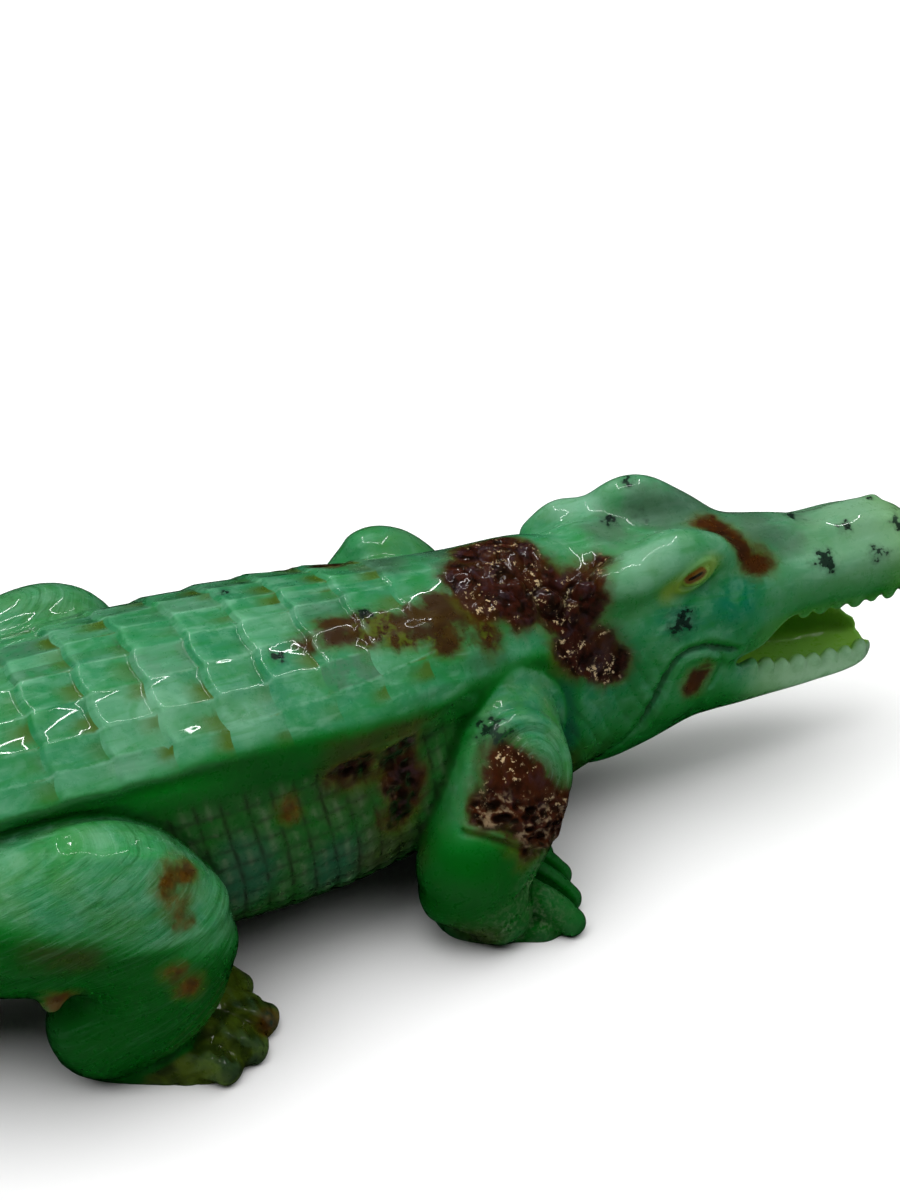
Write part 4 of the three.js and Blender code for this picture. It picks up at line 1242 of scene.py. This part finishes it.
def makeStone():
    # from the green body over residue, stains and rock to the wheel's strokes, each a layer on the one before
    look = stoneLook
    tones = {name: tone(code) for name, code in look["tones"].items()}
    material = bpy.data.materials.new("polishedGreenStone")
    material.use_nodes = True
    tree = material.node_tree
    tree.nodes.clear()
    node, calc, ramp, cloud, vector = toolsFor(tree)
    shader = node("ShaderNodeBsdfPrincipled")
    tree.links.new(shader.outputs[0], node("ShaderNodeOutputMaterial").inputs[0])
    place = node("ShaderNodeTexCoord").outputs["Object"]
    raggedEdge, inclusion = raggedGroup(), speckGroup()
    add, less, most, least = [partial(calc, kind) for kind in ("ADD", "SUBTRACT", "MAXIMUM", "MINIMUM")]

    def times(first, *others):
        # the product of them all
        for other in others:
            first = calc("MULTIPLY", first, other)
        return first

    def mark(name):
        # a value that the skin carries
        return node("ShaderNodeAttribute", attribute_name=name, attribute_type="GEOMETRY").outputs["Fac"]

    def layered(base, *layers, kind="MIX"):
        # each layer in turn over the base: how much of it there is, and its tone's name or a colour
        for share, tint in layers:
            tint = tones[tint] if isinstance(tint, str) else tint
            base = node("ShaderNodeMix", {0: share, 6: base, 7: tint}, data_type="RGBA", blend_type=kind).outputs[2]
        return base

    def halo(name, grow, scale, raggedness, softness):
        # a mark grown a little and given an uneven edge, kept near the mark
        given = mark(name)
        uneven = node("ShaderNodeGroup", {"Place": place, "Mask": add(given, grow), "Scale": scale,
                                          "Raggedness": raggedness, "Softness": softness}, node_tree=raggedEdge)
        return times(uneven.outputs[0], ramp(given, 0.02, 0.2))

    def wavy(name, wave, share, low, high):
        # a mark with the wave's ups and downs added, as a soft mask
        return ramp(add(mark(name), times(less(wave, 0.5), share)), low, high)

    def mapped(turn, stretch):
        # the place, turned and then stretched
        return node("ShaderNodeMapping", {"Vector": place, "Rotation": look[turn], "Scale": look[stretch]}).outputs[0]

    broad, middle, small, fine = [cloud(place, *look[name + "Cloud"]) for name in ("broad", "middle", "small", "fine")]
    onPlates, onFlank, pitted, rusty = [mark(name) for name in ("plates", "flank", "pits", "rust")]

    # which plate a place is on, as three numbers by chance, and how near its column's border
    half = calc("ABSOLUTE", mark("plateAcross"))
    column, borderGap = 0.0, 9.0
    for border in trunk["columns"][:-1]:
        column = add(calc("GREATER_THAN", half, border), column)
        borderGap = least(calc("ABSOLUTE", less(half, border)), borderGap)
    cell = node("ShaderNodeCombineXYZ", {0: calc("FLOOR", mark("plateAlong")),
                                         1: times(column, calc("SIGN", mark("plateAcross")))}).outputs[0]
    luck = node("ShaderNodeTexWhiteNoise", {"Vector": cell}, noise_dimensions="3D").outputs["Color"]
    luck = node("ShaderNodeSeparateColor", {0: luck}).outputs

    # green body: clouds of milk (partly a painted sheen where the milk mark lies), teal, smoke and moss over mint;
    # painted shade of deep green below, and a painted glow under the back's edge
    teal = most(times(wavy("teal", broad, 1.6, 0.1, 0.8), 0.95), times(onPlates, ramp(luck[0], 0.5, 1.0, 0, 0.36)))
    milk = most(times(wavy("milk", middle, 0.9, 0.1, 0.85), 0.85), times(onPlates, ramp(luck[0], 0.45, 0.0, 0, 0.32)))
    wisp = cloud(mapped("wispTurn", "wispStretch"), *look["wispCloud"])
    misty = times(wavy("mist", middle, 0.8, 0.1, 1.0), ramp(teal, 0.0, 0.7, 0.62, 0.1))
    greyed = times(onPlates, ramp(luck[1], 0.7, 0.95), ramp(small, 0.35, 0.6, 0.2, 0.8))
    greyed = most(greyed, wavy("smoke", middle, 1.2, 0.2, 0.9))
    # the painted shade's colour, deep green clouded with sea and moss, and where it lies
    under = layered(tones["deep"], (wavy("teal", broad, 1.2, 0.3, 0.9), "sea"),
                    (times(wavy("moss", middle, 1.0, 0.25, 0.9), 0.85), "moss"))
    deep = add(mark("deep"), times(less(middle, 0.5), 0.4))
    # a painted sheen along the middle of each of the flank's ribs
    ribs = ramp(calc("PINGPONG", mark("ribs"), 0.5), 0.3, 0.5, 0.0, 0.3)
    footTone = layered(tones["olive"], (ramp(middle, 0.4, 0.62), "khaki"))
    colour = layered(
        tones["mint"], (teal, "teal"), (milk, "milk"), (ramp(small, 0.42, 0.68, 0, 0.3), "milk"),
        (ramp(cloud(place, 240, 3, 0.5, 0.8), 0.48, 0.72, 0, 0.35), "leaf"),
        (ramp(cloud(place, 85, 3, 0.5, 0.4), 0.48, 0.66, 0, 0.4), "leaf"),
        (ramp(wisp, 0.52, 0.72, 0.0, 0.4), "milk"), (ramp(wisp, 0.48, 0.3, 0.0, 0.42), "leaf"), (misty, "mist"),
        (times(mark("limbs"), ramp(middle, 0.35, 0.65, 0.06, 0.38)), "sap"), (times(greyed, 0.62), "smoke"),
        # painted shade: leaf green and then the shade's colour where the deep mark says light doesn't reach; then the
        # painted glow
        (ramp(deep, 0.0, 0.6), "leaf"), (ramp(deep, 0.2, 0.95), under), (times(mark("glow"), 0.7), "glow"),
        # the painted sheen along the flank's ribs
        (times(ribs, onFlank, ramp(small, 0.4, 0.6)), "haze"),
        # a grey haze over the flank; the mouth's lime, partly a painted glow over its shade; then the jaw's right rim
        # pale, partly a painted highlight
        (times(onFlank, ramp(small, 0.35, 0.65, 0.05, 0.17)), "haze"), (times(mark("lime"), 0.9), "lime"),
        (times(mark("rim"), ramp(small, 0.3, 0.6, 0.3, 0.7)), "pale"), (times(mark("eyeRim"), 0.7), "eyeRim"),
        (times(wavy("olive", middle, 0.7, 0.2, 0.8), 0.9), footTone))

    # residue at the plates' head ends, a painted highlight along the ridges between their columns, and the flank's dark
    # thin grid
    start = add(times(luck[1], 0.3), times(middle, 0.4))
    residue = ramp(calc("FRACT", mark("plateAlong")), add(start, look["residueFrom"]), look["residueTo"])
    offset = calc("ABSOLUTE", add(mark("plateMid"), times(less(luck[0], 0.5), 1.6)))
    offset = add(offset, times(less(small, 0.5), 1.2))
    residue = times(residue, ramp(offset, 0.95, 0.3, 0.12, 1.0), ramp(luck[2], 0.2, 0.9, 0.15, 0.95), onPlates)
    ridge = times(ramp(times(borderGap, trunk["edgeHalf"]), 0.34, 0.04), onPlates, ramp(small, 0.35, 0.65, 0, 0.45))
    lines = [ramp(times(calc("PINGPONG", mark(name), 0.5), relief[key][0]), 0.6, 0.0, 0.0, look[name + "Dark"])
             for name, key in (("ribs", "flankRib"), ("courses", "flankCourse"))]
    grid = times(most(*lines), onFlank, ramp(small, 0.3, 0.6))
    colour = layered(colour, (residue, "residue"), (ridge, "milk"), (grid, "bark"))

    # stains and the rusty band
    stain, band = halo("stain", 0, 600, 0.5, 0.16), halo("band", 0, 500, 0.6, 0.16)
    rock = halo("rock", 0, 600, 0.5, 0.13)
    headTone = layered(tones["maroon"], (ramp(small, 0.4, 0.62), "rust"))
    stainTone = layered(tones["amber"], (ramp(small, 0.4, 0.62), "orange"),
                        (ramp(mark("headward"), 0.2, 0.6), headTone))
    bandTone = layered(tones["brown"], (ramp(small, 0.44, 0.6), "amber"),
                       (times(ramp(middle, 0.52, 0.62), ramp(fine, 0.45, 0.6)), "straw"))
    borderTone = layered(tones["straw"], (ramp(middle, 0.4, 0.6), "amber"))
    colour = layered(
        colour, (times(halo("stain", 0.1, 500, 0.4, 0.25), 0.8), "straw"), (times(stain, 0.95), stainTone),
        (times(halo("band", 0.08, 400, 0.6, 0.3), 0.6), "straw"), (times(band, 0.92), bandTone),
        (times(halo("rock", 0.16, 420, 0.5, 0.3), 0.85), borderTone),
        (times(halo("rock", 0.05, 600, 0.4, 0.16), 0.85), "amber"))

    # host rock: mottled browns, dark pits, and chips that catch the light
    pit = node("ShaderNodeTexVoronoi", {"Vector": mapped("pitTurn", "pitStretch"), "Scale": look["pitsPerMetre"]})
    pit = pit.outputs["Distance"]
    chips = times(ramp(cloud(place, 230, 2, 0.5, 0.4), 0.47, 0.56), ramp(cloud(place, 950, 3, 0.8), 0.57, 0.64),
                  ramp(pitted, 0.0, 1.0, 1.0, 0.4), ramp(onFlank, 0.0, 0.4, 1.0, 0.15))
    crusts = times(ramp(pit, 0.52, 0.68), least(pitted, rusty), ramp(fine, 0.45, 0.6, 0.0, 0.36))
    rockTone = layered(
        tones["bark"], (ramp(cloud(place, 520, 4, 0.7), 0.38, 0.6), "brown"),
        (ramp(cloud(place, 380, 3, 0.6, 1.0), 0.5, 0.66, 0, 0.75), "wine"),
        (ramp(cloud(place, 170, 3, 0.6, 0.8), 0.5, 0.64, 0, 0.6), "amber"),
        (times(rusty, ramp(small, 0.35, 0.6, 0.9, 0.3)), "rust"),
        (times(ramp(pit, 0.56, 0.34), pitted), "bark"), (most(chips, crusts), "chalk"))

    # dark inclusions
    moved = vector("SUBTRACT", cloud(place, 900.0, 2.0, 0.5, output="Color"), (0.5, 0.5, 0.5)).outputs[0]
    moved = vector("ADD", place, vector("SCALE", moved, look["speckDrift"]).outputs[0]).outputs[0]
    wave, ink = cloud(place, 560, 3, 0.6), 0.0
    for x, y, z, radius in look["specks"]:
        centre = ((x + forward) * metre, y * metre, z * metre)
        one = node("ShaderNodeGroup", {"Place": moved, "Centre": centre, "Radius": radius * metre, "Wave": wave},
                   node_tree=inclusion).outputs[0]
        ink = most(one, ink)
    slit = mark("slit")
    colour = layered(colour, (rock, rockTone), (times(ink, 0.94), "ink"),
                     (ramp(slit, 0.12, 0.5), "orange"), (ramp(slit, 0.72, 0.92), "bark"))

    # painted shade darkens the hollows, and a painted highlight pales the crests, most of all on the plates
    hollow, bare = mark("hollow"), less(1.0, rock)
    crest = times(ramp(hollow, 0.4, 0.12, 0.0, look["crestPale"]), bare, add(0.2, onPlates))
    colour = layered(colour, (ramp(hollow, 0.62, 0.95, 0.0, look["hollowDark"]), "deep"), kind="MULTIPLY")
    colour = layered(colour, (crest, "milk"), kind="SCREEN")

    # fine strokes of the carver's wheel, long and narrow: painted shade in their grooves, and a painted highlight on
    # their ridges that fades out in the painted shade
    across, along = look["strokePitch"]
    along = node("ShaderNodeCombineXYZ", {0: times(mark("strokeAcross"), across), 1: times(mark("strokeAlong"), along)})
    stroke = less(cloud(along.outputs[0], 1.0, 4, 0.7, 0.2), 0.5)
    stroke = times(stroke, mark("strokes"), less(bare, stain, True))
    pale = times(ramp(stroke, -0.01, -0.16, 0.0, look["strokePale"]), ramp(mark("deep"), 0.3, 1.0, 1.0, 0.25))
    scuff = times(mark("scuff"), ramp(cloud(place, 1300, 4, 0.75), 0.45, 0.62, 0, 0.6))
    dark = ramp(stroke, 0.01, 0.16, 0.0, look["strokeDark"])
    colour = layered(colour, (dark, "deep"), (pale, "milk"), (scuff, "haze"))

    rockHeight = add(cloud(place, 900, 4, 0.65), times(ramp(pit, 0.2, 0.6), pitted, 1.4))
    height = add(less(add(times(stroke, -1.4), times(fine, 0.1)), times(grid, 0.5)), times(rockHeight, rock, 1.1))
    bump = node("ShaderNodeBump", {"Strength": look["bumpStrength"], "Distance": look["bumpDepth"], "Height": height})
    dull = add(times(rock, look["rockRoughness"]), ramp(fine, 0.3, 0.7, *look["roughness"]))
    polish = times(ramp(mark("waxy"), 0.2, 0.8, 1.0, 0.1), ramp(mark("lime"), 0.3, 0.8, 1.0, 0.2))
    finish = {"Base Color": colour, "Roughness": dull, "Coat Weight": polish, "Normal": bump.outputs[0]}
    for name, output in finish.items():
        tree.links.new(output, shader.inputs[name])
    for name, value in look["body"].items():
        shader.inputs[name].default_value = value
    return material


print("making the material")
mesh.materials.clear()
mesh.materials.append(makeStone())
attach(carving, "root")
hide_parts("alligator")


# Floor, light and camera

studio = {
    "lookAt": (61.23, 26.5, 20), "azimuth": -28, "elevation": 32, "distance": 300, "fieldOfView": 35,
    "floorHalf": 3000, "floorTone": 0.86, "room": 0.03,
    "lightsAim": (40.0, 0, 25), "turn": 0.49,   # the lights' middle, and which way lies beyond the back
    "fill": 158.0, "fillFrom": 0.24, "fillReach": 2100, "fillSize": (5200, 5200),
    "key": 12.0, "keyFrom": (-0.4, 0.1, 1.0), "keyReach": 1500, "keySize": (1500, 1200),
    # thin bright strips in an open frame above and beyond the back, which the polish mirrors:
    # lift in degrees, place to the side as a part of the reach, and size
    "frame": 32.0, "frameReach": 520,
    "strips": [(80, 0, (340, 4)), (63, -0.33, (4, 290)), (63, 0.33, (4, 290))],
}


def vectorTo(direction):
    # Euler angles that turn -z to the direction, with x level
    x, y, z = direction / length(direction)
    return (math.acos(-z), 0, math.atan2(-x, y))


def sceneLight(name, place, aim, size, power, mirrored):
    # a soft rectangular light at a place in millimetres, turned to its aim; a mirrored one only shows in the polish
    data = bpy.data.lights.new(name, "AREA")
    data.shape, data.size, data.size_y = "RECTANGLE", size[0] * metre, size[1] * metre
    data.energy = power
    made = addObject(name, data)
    made.location = place * metre
    made.rotation_euler = vectorTo(aim - place)
    made.visible_glossy, made.visible_diffuse, made.visible_transmission = mirrored, not mirrored, not mirrored


def makeFloor():
    # a flat square of pale paper that the polish doesn't mirror
    half = studio["floorHalf"] * metre
    corners = np.array([(-half, -half, 0), (half, -half, 0), (half, half, 0), (-half, half, 0)])
    floor = addObject("paleFloor", makeMesh("paleFloor", corners, np.array([[0, 1, 2, 3]])))
    paint = bpy.data.materials.new("palePaper")
    paint.use_nodes = True
    shader = paint.node_tree.nodes["Principled BSDF"]
    shader.inputs["Base Color"].default_value = (*[studio["floorTone"]] * 3, 1)
    shader.inputs["Roughness"].default_value = 0.9
    shader.inputs["Specular IOR Level"].default_value = 0.1
    floor.data.materials.append(paint)
    floor.visible_glossy = False


def makeLights():
    # a dim even room, two soft lights from above, and an open frame of strips for the polish to mirror
    world = bpy.data.worlds.new("paleRoom")
    bpy.context.scene.world = world
    world.use_nodes = True
    world.node_tree.nodes["Background"].inputs[0].default_value = (1, 1, 1, 1)
    world.node_tree.nodes["Background"].inputs[1].default_value = studio["room"]
    world.cycles_visibility.glossy = False
    aim, up = np.array(studio["lightsAim"]), np.array([0, 0, 1.0])
    away = np.array([math.sin(studio["turn"]), math.cos(studio["turn"]), 0])
    right = np.array([away[1], -away[0], 0])
    above, toward = up + studio["fillFrom"] * away, np.array(studio["keyFrom"]) / length(studio["keyFrom"])
    sceneLight("softFill", aim + above * studio["fillReach"], aim, studio["fillSize"], studio["fill"], False)
    sceneLight("softKey", aim + toward * studio["keyReach"], aim, studio["keySize"], studio["key"], False)
    for k, (lift, side, size) in enumerate(studio["strips"]):
        e, aside = math.radians(lift), side * studio["frameReach"] * right
        place = aim + studio["frameReach"] * (away * math.cos(e) + up * math.sin(e)) + aside
        power = studio["frame"] * math.pi * size[0] * size[1] * metre ** 2
        sceneLight("strip" + str(k), place, aim + aside, size, power, True)


def makeCamera():
    # stands back from the point it looks at, by the distance along the azimuth and elevation
    camera = addObject("camera", bpy.data.cameras.new("camera"))
    bpy.context.scene.camera = camera
    a, e = math.radians(studio["azimuth"]), math.radians(studio["elevation"])
    back = np.array([math.sin(a) * math.cos(e), -math.cos(a) * math.cos(e), math.sin(e)])
    camera.location = (np.array(studio["lookAt"]) + back * studio["distance"]) * metre
    camera.rotation_euler = vectorTo(-back)
    camera.data.lens = camera.data.sensor_width / 2 / math.tan(math.radians(studio["fieldOfView"] / 2))
    camera.data.clip_start, camera.data.clip_end = 0.01, 20
    bpy.context.scene.view_settings.view_transform = "Standard"


print("setting the studio")
makeFloor()
makeLights()
makeCamera()
